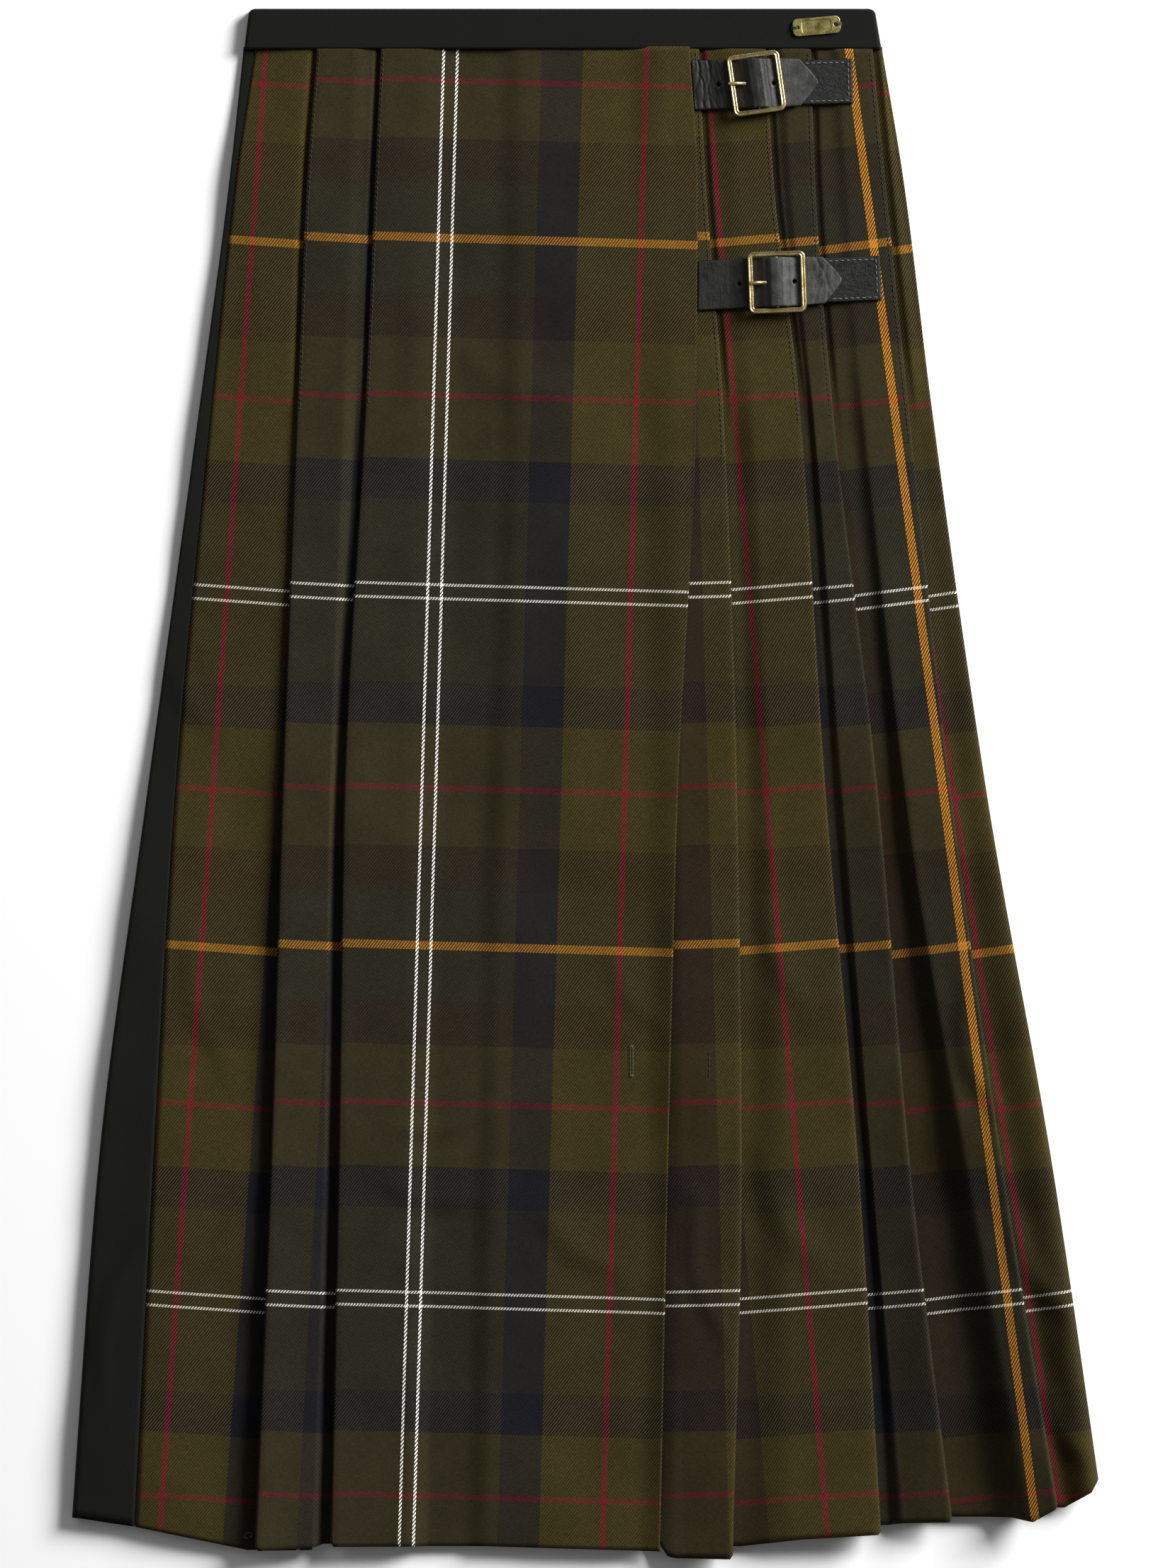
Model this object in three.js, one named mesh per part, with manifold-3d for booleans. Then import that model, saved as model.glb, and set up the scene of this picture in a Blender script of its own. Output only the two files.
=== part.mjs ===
// A pleated midi skirt laid flat, face up: a tartan front with a wrap-over apron, two leather straps,
// a black back that shows as a strip along the left side, and a black waistband with a bare plate.
// Millimetres. +X is the viewer's right, +Y runs from hem to waistband, +Z is up, the floor is z = 0.
import * as THREE from "three";
import { mergeVertices } from "three/addons/utils/BufferGeometryUtils.js";
import Module from "manifold-3d";

const wasm = await Module();
wasm.setup();

const CLOTH = 1.1;
const SEAM_GAP = 0.3;
const WAIST_SEAM_Y = 398;
const WAIST_TOP_Y = 420.4;
const STATIONS = 13;
const CENTRING = [0.75, 0.2, 0];

// Every table below has these six columns, read at these heights and joined by smooth curves.
const COLUMNS = { waist: 398, yoke: 325, hip: 205, mid: -6, low: -210, hem: -410 };
const HEIGHTS = Object.values(COLUMNS);

//                waist    yoke     hip     mid     low     hem
const OUTLINE = {
  left:         [-186.2, -194.1, -210.0, -238.6, -265.2, -280.0],
  right:         [159.8,  171.8,  186.6,  216.6,  252.4,  281.6],
  sideSeam:     [-180.4, -191.2, -204.0, -223.7, -235.6, -246.0],
  apronEdge:      [55.6,   59.9,   59.2,   49.1,   43.7,   39.5],
  underlap:      [-34.0,  -34.0,  -34.0,  -42.0,  -48.0,  -52.0],
};
const SIDE_ROLL = {
  left:           [0.75,   0.75,   0.80,   1.40,   2.00,   2.60],
  right:          [0.75,   0.75,   0.85,   1.90,   3.40,   4.60],
};
const PITCH =     [1.45,   1.45,   1.45,   1.70,   2.00,   2.30];
const LEFT_FOLDS = {
  apronPleat: {
    edge:       [-111.8, -115.1, -120.1, -131.5, -134.7, -138.8],
    depth:        [20.0,   20.0,   24.0,   30.0,   36.0,   40.0],
    height:        [4.9,    4.9,    4.9,    6.8,    8.2,    9.6],
    hem: { start: -413.9, end: -414.0 },
  },
  sidePleat: {
    edge:       [-146.5, -152.0, -157.0, -165.0, -171.4, -179.6],
    depth:        [20.0,   22.0,   24.0,   25.0,   28.0,   30.0],
    height:        [4.9,    4.9,    4.9,    7.4,    9.6,   11.6],
    hem: { start: -412.7, end: -416.0 },
  },
};
const RIGHT_FOLDS = {
  firstPleat: {
    edge:         [60.3,   64.0,   73.4,   80.9,   83.4,   78.7],
    depth:        [18.0,   20.0,   24.0,   28.0,   30.0,   30.0],
    height:        [4.9,    4.9,    4.9,    6.8,    8.2,    9.4],
    hem: { under: -412.0, start: -419.5, end: -420.8 },
  },
  secondPleat: {
    edge:         [96.6,  101.0,  115.0,  129.0,  146.9,  159.2],
    depth:        [18.0,   18.0,   24.0,   28.0,   36.0,   44.0],
    height:        [4.9,    4.9,    4.9,    6.8,    8.6,   10.4],
    hem: { start: -414.0, end: -407.5 },
  },
  thirdPleat: {
    edge:        [121.0,  123.4,  132.8,  157.3,  175.0,  198.8],
    depth:        [14.0,   12.0,   10.0,   18.0,   20.0,   26.0],
    height:        [4.9,    4.9,    4.9,    7.4,   10.6,   13.0],
    hem: { start: -402.5, end: -400.5 },
  },
  ridgePleat: {
    edge:        [154.5,  161.6,  174.0,  196.9,  225.0,  257.4],
    depth:        [18.0,   20.0,   24.0,   24.0,   18.0,   14.0],
    height:        [4.9,    4.9,    4.9,   10.5,   17.0,   21.5],
    crest: 0.75,
    hem: { start: -398.0, sag: 5.0, end: -393.0 },
  },
};
const HEM = {
  apronEdge: -416.6,
  rightEdge: -384.5,
  rightSeam: -385,
  backRight: -390,
  backMiddle: -406,
  leftEdge: -398.6,
  sideSeam: -403.3,
};
const CORNER_RISE = { pleat: 2.5, rightEdge: 7 };
const RIGHT_WRAP = 15;
const PLEAT_CLEAR = 2;
const APRON_FOOT = 22;
const APRON_LIFT = 0.3;
const APRON_DROP = { end: 14, flat: 20 };

const BAND = { left: [-186.2, -183.5], right: [159.8, 156.1], split: 2.2, top: 6.0, corner: 3.2 };
const BAND_ROWS = [
  { y: WAIST_SEAM_Y + SEAM_GAP, inset: 0 },
  { y: WAIST_TOP_Y - 1.6, inset: 0 },
  { y: WAIST_TOP_Y - 0.5, inset: 0.4 },
  { y: WAIST_TOP_Y, inset: 1.3 },
];

const LEATHER = 1.4;
const REST_Z = 5.75;
const BAR_RADIUS = 0.8;
const BAR_Z = 9.0;
const FRAME_Z = 10.4;
const WIRE = 2.5;
const FITTINGS = [
  {
    name: "upper",
    centre: [91.8, 379.6],
    slope: 1.4,
    lean: 8,
    tip: 33.5,
    tabEnd: 52.3,
    frame: [28.5, 33.0],
  },
  {
    name: "lower",
    centre: [103.0, 271.8],
    slope: 2.4,
    lean: 2,
    tip: 35.2,
    tabEnd: 56.4,
    frame: [31.0, 33.3],
  },
];
const STRAP = { rootWidth: 27.2, width: 24.2, point: 10, tabWidth: 24, holes: [-20.5, 9.5], hole: 1.2 };
const PRONG = { width: 2.2, height: 1.4, clearance: 0.35 };
const PLATE = { centre: [124.5, 410.8], size: [25.8, 9.5], thickness: 1.2, turn: 5 };

const mix = (a, b, t) => a + (b - a) * t;
const radians = THREE.MathUtils.degToRad;
const ease = (t) => t * t * (3 - 2 * t);

// Monotone cubic through the six columns of a table row, so no fold line overshoots its sizes.
function read(row, y) {
  const clamped = Math.min(Math.max(y, HEIGHTS.at(-1)), HEIGHTS[0]);
  const rise = (k) => (row[k + 1] - row[k]) / (HEIGHTS[k + 1] - HEIGHTS[k]);
  const slope = (k) => {
    if (k === 0) return rise(0);
    if (k === row.length - 1) return rise(k - 1);
    const [before, after] = [rise(k - 1), rise(k)];
    return before * after <= 0 ? 0 : (2 * before * after) / (before + after);
  };
  const k = Math.min(HEIGHTS.findLastIndex((height) => clamped <= height), row.length - 2);
  const span = HEIGHTS[k + 1] - HEIGHTS[k];
  const t = (clamped - HEIGHTS[k]) / span;
  const bend = t * (1 - t) * span;
  return mix(row[k], row[k + 1], ease(t)) + bend * ((1 - t) * slope(k) - t * slope(k + 1));
}

// A section is a list of points: x across, z up, and hem, the height at which that thread ends.
class Section {
  constructor(x, z, hem) {
    this.points = [{ x, z, hem }];
  }

  get end() {
    return this.points.at(-1);
  }

  to(x, z, hem, steps, curve = (t) => t) {
    const from = this.end;
    for (let step = 1; step <= steps; step += 1) {
      const t = step / steps;
      this.points.push({ x: mix(from.x, x, t), z: mix(from.z, z, curve(t)), hem: mix(from.hem, hem, t) });
    }
    return this;
  }

  // Half a turn downwards about a point straight below the end, bulging to the given side. The
  // middle of the turn ends higher by rise, which rounds the hem's corner.
  turnDown(radius, side, steps, rise = 0) {
    const from = this.end;
    for (let step = 1; step <= steps; step += 1) {
      const angle = (Math.PI * step) / steps;
      const x = from.x + side * radius * Math.sin(angle);
      const z = from.z - radius * (1 - Math.cos(angle));
      this.points.push({ x, z, hem: from.hem + rise * Math.sin(angle) });
    }
    return this;
  }
}

const floorLevel = (y) => CLOTH / 2 + read(PITCH, y);

// The height of a pleat's face where the layers folded under it begin.
function liftLevel(fold, y) {
  const lowest = floorLevel(y) + 2 * read(PITCH, y);
  return mix(lowest, Math.max(lowest, read(fold.height, y)), fold.crest ?? 0);
}

// One knife pleat: the face rises over its own folded layers to the edge, turns under and comes back.
function addPleat(section, fold, side, y, footX, nextHem) {
  const pitch = read(PITCH, y);
  const floor = floorLevel(y);
  const edge = read(fold.edge, y);
  const inner = edge - side * read(fold.depth, y);
  const height = Math.max(read(fold.height, y), floor + 2 * pitch);
  const radius = pitch / 2;
  const { start, end, under = start, sag = 0 } = fold.hem;
  const rises = [[0.25, under], [0.5, under], [0.75, start], [1, mix(start, end, 0.6) - sag]];
  section.to(footX, floor, under, 2);
  for (const [t, hem] of rises) {
    section.to(mix(footX, inner, t), mix(floor, liftLevel(fold, y), ease(t)), hem, 1);
  }
  section.to(edge - side * radius, height, end, 2);
  section.turnDown(radius, side, 4, CORNER_RISE.pleat);
  section.to(inner + side * radius, floor + pitch, nextHem, 2);
  section.turnDown(radius, -side, 4);
}

// A run of pleats, each starting just past the edge of the last. It returns where the next face starts.
function addPleats(section, folds, side, y, firstFootX) {
  const all = Object.values(folds);
  let footX = firstFootX;
  all.forEach((fold, index) => {
    const next = all[index + 1]?.hem.start ?? fold.hem.end;
    addPleat(section, fold, side, y, footX, next);
    footX = read(fold.edge, y) + side * PLEAT_CLEAR;
  });
  return footX;
}

function rightPanelSection(y) {
  const floor = floorLevel(y);
  const section = new Section(read(OUTLINE.underlap, y), floor, RIGHT_FOLDS.firstPleat.hem.under);
  const footX = addPleats(section, RIGHT_FOLDS, 1, y, firstFoot(y));
  const roll = read(SIDE_ROLL.right, y);
  const edge = read(OUTLINE.right, y);
  section.to(footX, floor, RIGHT_FOLDS.ridgePleat.hem.end, 1);
  section.to(edge - roll, CLOTH / 2 + 2 * roll, HEM.rightEdge, 3, ease);
  section.turnDown(roll, 1, 5, CORNER_RISE.rightEdge);
  section.to(edge - RIGHT_WRAP + SEAM_GAP / 2, CLOTH / 2, HEM.rightSeam, 1);
  return section.points;
}

function firstFoot(y) {
  const { edge, depth } = RIGHT_FOLDS.firstPleat;
  return read(edge, y) - read(depth, y) - APRON_FOOT;
}

// The height of the first right pleat's face, which the apron lies on.
function underApron(x, y) {
  const fold = RIGHT_FOLDS.firstPleat;
  const inner = read(fold.edge, y) - read(fold.depth, y);
  const floor = floorLevel(y);
  const foot = firstFoot(y);
  if (x < foot) return floor;
  if (x < inner) return mix(floor, liftLevel(fold, y), ease((x - foot) / (inner - foot)));
  const rise = (x - inner) / (read(fold.edge, y) - inner);
  return mix(liftLevel(fold, y), read(fold.height, y), rise);
}

const APRON_SAMPLES = [0, 0.05, 0.12, 0.2, 0.3, 0.42, 0.58, 0.78, 1];

function apronSection(y) {
  const pitch = read(PITCH, y) + APRON_LIFT;
  const floor = floorLevel(y);
  const edge = read(OUTLINE.apronEdge, y);
  const under = read(OUTLINE.underlap, y) - 1;
  const hem = LEFT_FOLDS.apronPleat.hem.start;
  const section = new Section(edge, underApron(edge, y) + pitch, HEM.apronEdge);
  for (const share of APRON_SAMPLES.slice(1)) {
    const x = mix(edge, under, share);
    section.to(x, underApron(x, y) + pitch, mix(HEM.apronEdge, hem, share), 1);
  }
  section.to(under - APRON_DROP.end, floor, hem, 3, ease);
  const footX = addPleats(section, LEFT_FOLDS, -1, y, under - APRON_DROP.flat);
  section.to(footX, floor, LEFT_FOLDS.sidePleat.hem.end, 1);
  const seamZ = CLOTH / 2 + 2 * read(SIDE_ROLL.left, y);
  section.to(read(OUTLINE.sideSeam, y) + SEAM_GAP / 2, seamZ, HEM.sideSeam, 4, ease);
  return section.points;
}

function backSection(y) {
  const roll = read(SIDE_ROLL.left, y);
  const left = read(OUTLINE.left, y);
  const right = read(OUTLINE.right, y);
  const top = CLOTH / 2 + 2 * roll;
  const section = new Section(read(OUTLINE.sideSeam, y) - SEAM_GAP / 2, top, HEM.sideSeam);
  section.to(left + roll, top, HEM.leftEdge, 2);
  section.turnDown(roll, -1, 5);
  section.to(left + 60, CLOTH / 2, HEM.backMiddle, 2);
  section.to(right - 160, CLOTH / 2, HEM.backMiddle, 2);
  section.to(right - 60, CLOTH / 2, HEM.backRight, 1);
  section.to(right - RIGHT_WRAP - SEAM_GAP / 2, CLOTH / 2, HEM.rightSeam, 2);
  return section.points;
}

// Rows of points from the waist seam down to each thread's own hem, each read at its own height.
function panelGrid(sectionAt) {
  const hems = sectionAt(COLUMNS.hem).map((point) => point.hem);
  return hems.map((hem, column) => {
    const line = [];
    for (let row = 0; row < STATIONS; row += 1) {
      const y = mix(WAIST_SEAM_Y, hem, row / (STATIONS - 1));
      const { x, z } = sectionAt(y)[column];
      line.push(new THREE.Vector3(x, y, z));
    }
    return line;
  });
}

function geometryFrom(points, faces) {
  const geometry = new THREE.BufferGeometry();
  geometry.setAttribute("position", new THREE.Float32BufferAttribute(points.flatMap((p) => p.toArray()), 3));
  geometry.setIndex(faces);
  return outward(geometry);
}

function signedVolume(geometry) {
  const { position } = geometry.attributes;
  const index = geometry.index.array;
  const corners = [new THREE.Vector3(), new THREE.Vector3(), new THREE.Vector3()];
  let volume = 0;
  for (let i = 0; i < index.length; i += 3) {
    corners.forEach((corner, k) => corner.fromBufferAttribute(position, index[i + k]));
    volume += corners[0].dot(corners[1].clone().cross(corners[2])) / 6;
  }
  return volume;
}

function outward(geometry) {
  if (signedVolume(geometry) < 0) {
    geometry.setIndex(Array.from(geometry.index.array).reverse());
  }
  return geometry;
}

// A closed wall round a middle surface. grid[i][j]: i runs along the section, j along the wall.
function wall(grid, thickness) {
  const rows = grid[0].length;
  const sides = [1, -1].map((side) => grid.flatMap((line, i) => line.map((point, j) => {
    const before = grid[Math.max(i - 1, 0)][j];
    const after = grid[Math.min(i + 1, grid.length - 1)][j];
    const length = Math.hypot(after.x - before.x, after.z - before.z);
    const shift = (side * thickness) / 2 / length;
    return new THREE.Vector3(
      point.x - (after.z - before.z) * shift,
      point.y,
      point.z + (after.x - before.x) * shift,
    );
  })));
  const inner = sides[0].length;
  const at = (i, j, layer) => layer * inner + i * rows + j;
  const faces = [];
  const quad = (a, b, c, d) => faces.push(a, b, c, a, c, d);
  for (let i = 0; i < grid.length - 1; i += 1) {
    for (let j = 0; j < rows - 1; j += 1) {
      quad(at(i, j, 0), at(i + 1, j, 0), at(i + 1, j + 1, 0), at(i, j + 1, 0));
      quad(at(i, j, 1), at(i, j + 1, 1), at(i + 1, j + 1, 1), at(i + 1, j, 1));
    }
  }
  const last = grid.length - 1;
  for (let j = 0; j < rows - 1; j += 1) {
    quad(at(0, j, 0), at(0, j + 1, 0), at(0, j + 1, 1), at(0, j, 1));
    quad(at(last, j, 0), at(last, j, 1), at(last, j + 1, 1), at(last, j + 1, 0));
  }
  for (let i = 0; i < last; i += 1) {
    quad(at(i, 0, 0), at(i, 0, 1), at(i + 1, 0, 1), at(i + 1, 0, 0));
    quad(at(i, rows - 1, 0), at(i + 1, rows - 1, 0), at(i + 1, rows - 1, 1), at(i, rows - 1, 1));
  }
  return geometryFrom(sides.flat(), faces);
}

// A closed solid through convex rings of points, with a fan on its first and last ring.
function loft(rings) {
  const count = rings[0].length;
  const faces = [];
  for (let ring = 0; ring < rings.length - 1; ring += 1) {
    for (let k = 0; k < count; k += 1) {
      const [a, b] = [ring * count + k, ring * count + ((k + 1) % count)];
      faces.push(a, b, b + count, a, b + count, a + count);
    }
  }
  const last = (rings.length - 1) * count;
  for (let k = 1; k < count - 1; k += 1) {
    faces.push(0, k + 1, k, last, last + k, last + k + 1);
  }
  return geometryFrom(rings.flat(), faces);
}

// Half of the waistband: the flat side at z = flat, the side with round corners at z = far.
function bandGeometry(flat, far) {
  const height = far - flat;
  const rings = BAND_ROWS.map(({ y, inset }) => {
    const share = (y - WAIST_SEAM_Y) / (WAIST_TOP_Y - WAIST_SEAM_Y);
    const left = mix(...BAND.left, share) + inset;
    const right = mix(...BAND.right, share) - inset;
    const ring = [];
    for (const [end, inwards, turns] of [[left, 1, [0, 1, 2, 3, 4]], [right, -1, [4, 3, 2, 1, 0]]]) {
      for (const turn of turns) {
        const angle = (turn / 4) * (Math.PI / 2);
        const x = end + inwards * BAND.corner * (1 - Math.cos(angle));
        const rise = (height - Math.sign(height) * inset * 0.5) * Math.sin(angle);
        ring.push(new THREE.Vector3(x, y, flat + rise));
      }
    }
    return ring;
  });
  return loft(rings);
}

function toSolid(geometry) {
  const bare = new THREE.BufferGeometry();
  bare.setAttribute("position", geometry.attributes.position.clone());
  if (geometry.index) bare.setIndex(Array.from(geometry.index.array));
  const merged = mergeVertices(bare, 1e-4);
  return new wasm.Manifold(new wasm.Mesh({
    numProp: 3,
    vertProperties: new Float32Array(merged.attributes.position.array),
    triVerts: new Uint32Array(merged.index.array),
  }));
}

function fromSolid(solid) {
  const mesh = solid.getMesh();
  const geometry = new THREE.BufferGeometry();
  geometry.setAttribute("position", new THREE.BufferAttribute(new Float32Array(mesh.vertProperties), 3));
  geometry.setIndex(new THREE.BufferAttribute(new Uint32Array(mesh.triVerts), 1));
  return geometry;
}

const cut = (geometry, ...tools) => fromSolid(
  tools.reduce((solid, tool) => solid.subtract(toSolid(tool)), toSolid(geometry)),
);

// The strap's middle height along its length: flat, under the left wire, over the bar, under the right.
const STRAP_PROFILE = [
  { x: -60, z: REST_Z + LEATHER / 2 },
  { x: -26, z: REST_Z + LEATHER / 2 },
  { x: -16, z: 7.9 },
  { x: -10.4, z: 8.1 },
  { x: -6.4, z: 10.4 },
  { x: -2.5, z: 12.55 },
  { x: 0, z: 12.75 },
  { x: 3, z: 12.45 },
  { x: 6.6, z: 9.9 },
  { x: 10.4, z: 8.15 },
  { x: 18, z: 8.15 },
  { x: 60, z: 8.15 },
];

function strapHeight(x) {
  const k = STRAP_PROFILE.findLastIndex((point) => point.x <= x);
  const [a, b] = [STRAP_PROFILE[k], STRAP_PROFILE[k + 1]];
  return mix(a.z, b.z, ease((x - a.x) / (b.x - a.x)));
}

const STRAP_BEND = 17;
const STRAP_STEPS = { root: 3, bend: 17, tip: 3 };
const STRAP_ROWS = [-1, 0, 1];

const spread = (a, b, steps) => Array.from({ length: steps }, (_, step) => mix(a, b, step / steps));

// The strap's stations along one thread: its bends stay in line with the leaning buckle.
function strapStations(root, tip, shear) {
  const [from, to] = [-STRAP_BEND - shear, STRAP_BEND - shear];
  return [
    ...spread(root, from, STRAP_STEPS.root),
    ...spread(from, to, STRAP_STEPS.bend),
    ...spread(to, tip, STRAP_STEPS.tip),
    tip,
  ];
}

// Where a strap meets the apron's edge, in the strap's own frame, on the thread at that height.
function strapRoot(fitting, y) {
  const slope = Math.tan(radians(fitting.slope));
  const root = read(OUTLINE.apronEdge, fitting.centre[1] + y) + SEAM_GAP - fitting.centre[0];
  return (root + slope * y) / Math.cos(radians(fitting.slope));
}

function strapGeometry(fitting) {
  const lean = Math.tan(radians(fitting.lean - fitting.slope));
  const threads = STRAP_ROWS.map((row) => {
    const root = strapRoot(fitting, (row * STRAP.rootWidth) / 2);
    const tip = fitting.tip - STRAP.point * Math.abs(row);
    const shear = (lean * row * STRAP.width) / 2;
    return strapStations(root, tip, shear).map((x) => {
      const taper = Math.min(1, Math.max(0, (x - root) / 18));
      const y = (row * mix(STRAP.rootWidth, STRAP.width, taper)) / 2;
      return new THREE.Vector3(x, y, strapHeight(x + shear));
    });
  });
  const grid = threads[0].map((_, station) => threads.map((thread) => thread[station]));
  const punches = STRAP.holes.map((x) => {
    const punch = new THREE.CylinderGeometry(STRAP.hole, STRAP.hole, 20, 10);
    punch.rotateX(Math.PI / 2);
    punch.translate(x, 0, REST_Z);
    return punch;
  });
  return cut(wall(grid, LEATHER), prongGeometry(PRONG.clearance), ...punches);
}

// The tab lies flat, and its end turns round the buckle's bar with a slot for the prong.
function tabGeometry(fitting) {
  const radius = BAR_RADIUS + SEAM_GAP + LEATHER / 2;
  const line = [];
  for (const share of [0, 0.4, 0.8]) line.push([mix(fitting.tabEnd, 4, share), REST_Z + LEATHER / 2]);
  line.push([6, REST_Z + LEATHER / 2 + 0.1], [2.5, BAR_Z - radius]);
  for (let step = 0; step <= 8; step += 1) {
    const angle = radians(mix(270, 75, step / 8));
    line.push([radius * Math.cos(angle), BAR_Z + radius * Math.sin(angle)]);
  }
  const lean = Math.tan(radians(fitting.lean - fitting.slope));
  const grid = line.map(([x, z]) => STRAP_ROWS.map((row) => {
    const y = (row * STRAP.tabWidth) / 2;
    const follow = 1 - ease(Math.min(1, Math.max(0, (x - 4) / 16)));
    return new THREE.Vector3(x - lean * y * follow, y, z);
  }));
  const slot = new THREE.BoxGeometry(9, PRONG.width + 1.2, 9);
  slot.translate(-1, 0, BAR_Z);
  return cut(wall(grid, LEATHER), slot);
}

function roundedRectangle(width, height, radius) {
  const [x, y] = [width / 2, height / 2];
  const shape = new THREE.Shape();
  shape.moveTo(-x + radius, -y);
  shape.lineTo(x - radius, -y);
  shape.absarc(x - radius, -y + radius, radius, -Math.PI / 2, 0);
  shape.lineTo(x, y - radius);
  shape.absarc(x - radius, y - radius, radius, 0, Math.PI / 2);
  shape.lineTo(-x + radius, y);
  shape.absarc(-x + radius, y - radius, radius, Math.PI / 2, Math.PI);
  shape.lineTo(-x, -y + radius);
  shape.absarc(-x + radius, -y + radius, radius, Math.PI, 1.5 * Math.PI);
  return shape;
}

function buckleGeometry(fitting) {
  const [width, height] = fitting.frame;
  const round = 0.7;
  const shape = roundedRectangle(width - 2 * round, height - 2 * round, 3.2);
  shape.holes.push(roundedRectangle(width - 2 * WIRE + 2 * round, height - 2 * WIRE + 2 * round, 2.2));
  const frame = new THREE.ExtrudeGeometry(shape, {
    depth: WIRE - 2 * round,
    bevelThickness: round,
    bevelSize: round,
    bevelSegments: 1,
    curveSegments: 3,
  });
  frame.translate(0, 0, FRAME_Z - WIRE / 2 + round);
  const bar = new THREE.CylinderGeometry(BAR_RADIUS, BAR_RADIUS, height - WIRE, 8);
  bar.translate(0, 0, BAR_Z);
  return fromSolid(toSolid(frame).add(toSolid(bar)));
}

// The prong hooks over the bar, comes up through the strap and rests on the left wire.
function prongGeometry(extra = 0) {
  const radius = BAR_RADIUS + SEAM_GAP + PRONG.height / 2;
  const points = [-50, 0, 50, 95].map((angle) => new THREE.Vector3(
    radius * Math.cos(radians(angle)),
    0,
    BAR_Z + radius * Math.sin(radians(angle)),
  ));
  points.push(new THREE.Vector3(-3.4, 0, 10.6), new THREE.Vector3(-7.5, 0, 11.2));
  points.push(new THREE.Vector3(-11.6, 0, 12.4), new THREE.Vector3(-15.4, 0, 12.7));
  const path = new THREE.CatmullRomCurve3(points);
  const section = roundedRectangle(PRONG.width + 2 * extra, PRONG.height + 2 * extra, 0.5 + extra);
  return new THREE.ExtrudeGeometry(section, {
    steps: 13,
    extrudePath: path,
    curveSegments: 1,
    bevelEnabled: false,
  });
}

function plateGeometry() {
  const [width, height] = PLATE.size;
  const round = 0.3;
  const shape = roundedRectangle(width - 2 * round, height - 2 * round, 2.6);
  for (const side of [-1, 1]) {
    const hole = new THREE.Path();
    hole.absarc(side * (width / 2 - 2.6), 0, 0.9 + round, 0, 2 * Math.PI);
    shape.holes.push(hole);
  }
  const plate = new THREE.ExtrudeGeometry(shape, {
    depth: PLATE.thickness - 2 * round,
    bevelThickness: round,
    bevelSize: round,
    bevelSegments: 1,
    curveSegments: 2,
  });
  plate.translate(0, 0, round);
  const field = new THREE.ExtrudeGeometry(roundedRectangle(width - 10, height - 3, 1.6), {
    depth: 2,
    bevelEnabled: false,
    curveSegments: 3,
  });
  field.translate(0, 0, PLATE.thickness - 0.35);
  return cut(plate, field);
}

function finish(color, roughness, metalness) {
  return new THREE.MeshStandardMaterial({ color, roughness, metalness });
}

const TARTAN = finish("#3d3a20", 0.9, 0);
const BLACK_CLOTH = finish("#20201e", 0.9, 0);
const BLACK_LEATHER = finish("#262626", 0.45, 0);
const BRASS = finish("#c8b478", 0.3, 1);
const OLD_BRASS = finish("#8c8250", 0.45, 1);

function mesh(name, geometry, material) {
  const made = new THREE.Mesh(geometry, material);
  made.name = name;
  return made;
}

function fittingGroup(fitting) {
  const group = new THREE.Group();
  group.position.set(...fitting.centre, 0);
  group.rotation.z = radians(fitting.slope);
  const turn = radians(fitting.lean - fitting.slope);
  const buckle = mesh(`buckle_${fitting.name}`, buckleGeometry(fitting), BRASS);
  buckle.rotation.z = turn;
  group.add(mesh(`strap_${fitting.name}`, strapGeometry(fitting), BLACK_LEATHER));
  group.add(mesh(`tab_${fitting.name}`, tabGeometry(fitting), BLACK_LEATHER));
  group.add(buckle);
  group.add(mesh(`prong_${fitting.name}`, prongGeometry(), BRASS));
  return group;
}

const skirt = new THREE.Group();
skirt.position.set(...CENTRING);
skirt.add(mesh("back_panel", wall(panelGrid(backSection), CLOTH), BLACK_CLOTH));
skirt.add(mesh("right_panel", wall(panelGrid(rightPanelSection), CLOTH), TARTAN));
skirt.add(mesh("front_apron", wall(panelGrid(apronSection), CLOTH), TARTAN));
skirt.add(mesh("waistband_back", bandGeometry(BAND.split, 0), BLACK_CLOTH));
skirt.add(mesh("waistband_front", bandGeometry(BAND.split + SEAM_GAP, BAND.top), BLACK_CLOTH));
for (const fitting of FITTINGS) skirt.add(fittingGroup(fitting));
const plate = mesh("waist_plate", plateGeometry(), OLD_BRASS);
plate.position.set(...PLATE.centre, BAND.top + SEAM_GAP);
plate.rotation.z = radians(PLATE.turn);
skirt.add(plate);

export default skirt;
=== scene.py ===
"""A pleated midi skirt laid flat, face up: tartan front with a wrap-over apron, leather straps with
brass buckles, black back and waistband. Sizes are in millimetres and become metres in each mesh."""

import math

import bmesh
import bpy
import numpy as np
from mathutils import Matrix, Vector
from mathutils.bvhtree import BVHTree


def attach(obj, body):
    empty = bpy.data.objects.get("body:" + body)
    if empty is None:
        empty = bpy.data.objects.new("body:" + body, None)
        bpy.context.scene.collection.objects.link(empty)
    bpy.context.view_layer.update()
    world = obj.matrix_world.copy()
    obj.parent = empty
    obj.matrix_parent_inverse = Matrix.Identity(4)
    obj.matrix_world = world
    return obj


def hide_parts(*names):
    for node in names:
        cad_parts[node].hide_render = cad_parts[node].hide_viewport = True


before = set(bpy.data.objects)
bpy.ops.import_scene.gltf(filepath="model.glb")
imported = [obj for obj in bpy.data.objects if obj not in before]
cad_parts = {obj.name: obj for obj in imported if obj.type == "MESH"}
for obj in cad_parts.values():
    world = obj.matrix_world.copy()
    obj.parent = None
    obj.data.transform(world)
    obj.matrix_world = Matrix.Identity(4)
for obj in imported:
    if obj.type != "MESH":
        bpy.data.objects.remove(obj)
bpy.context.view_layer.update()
MM = 0.001
CENTRING = np.array([0.75, 0.2, 0.0])

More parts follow.
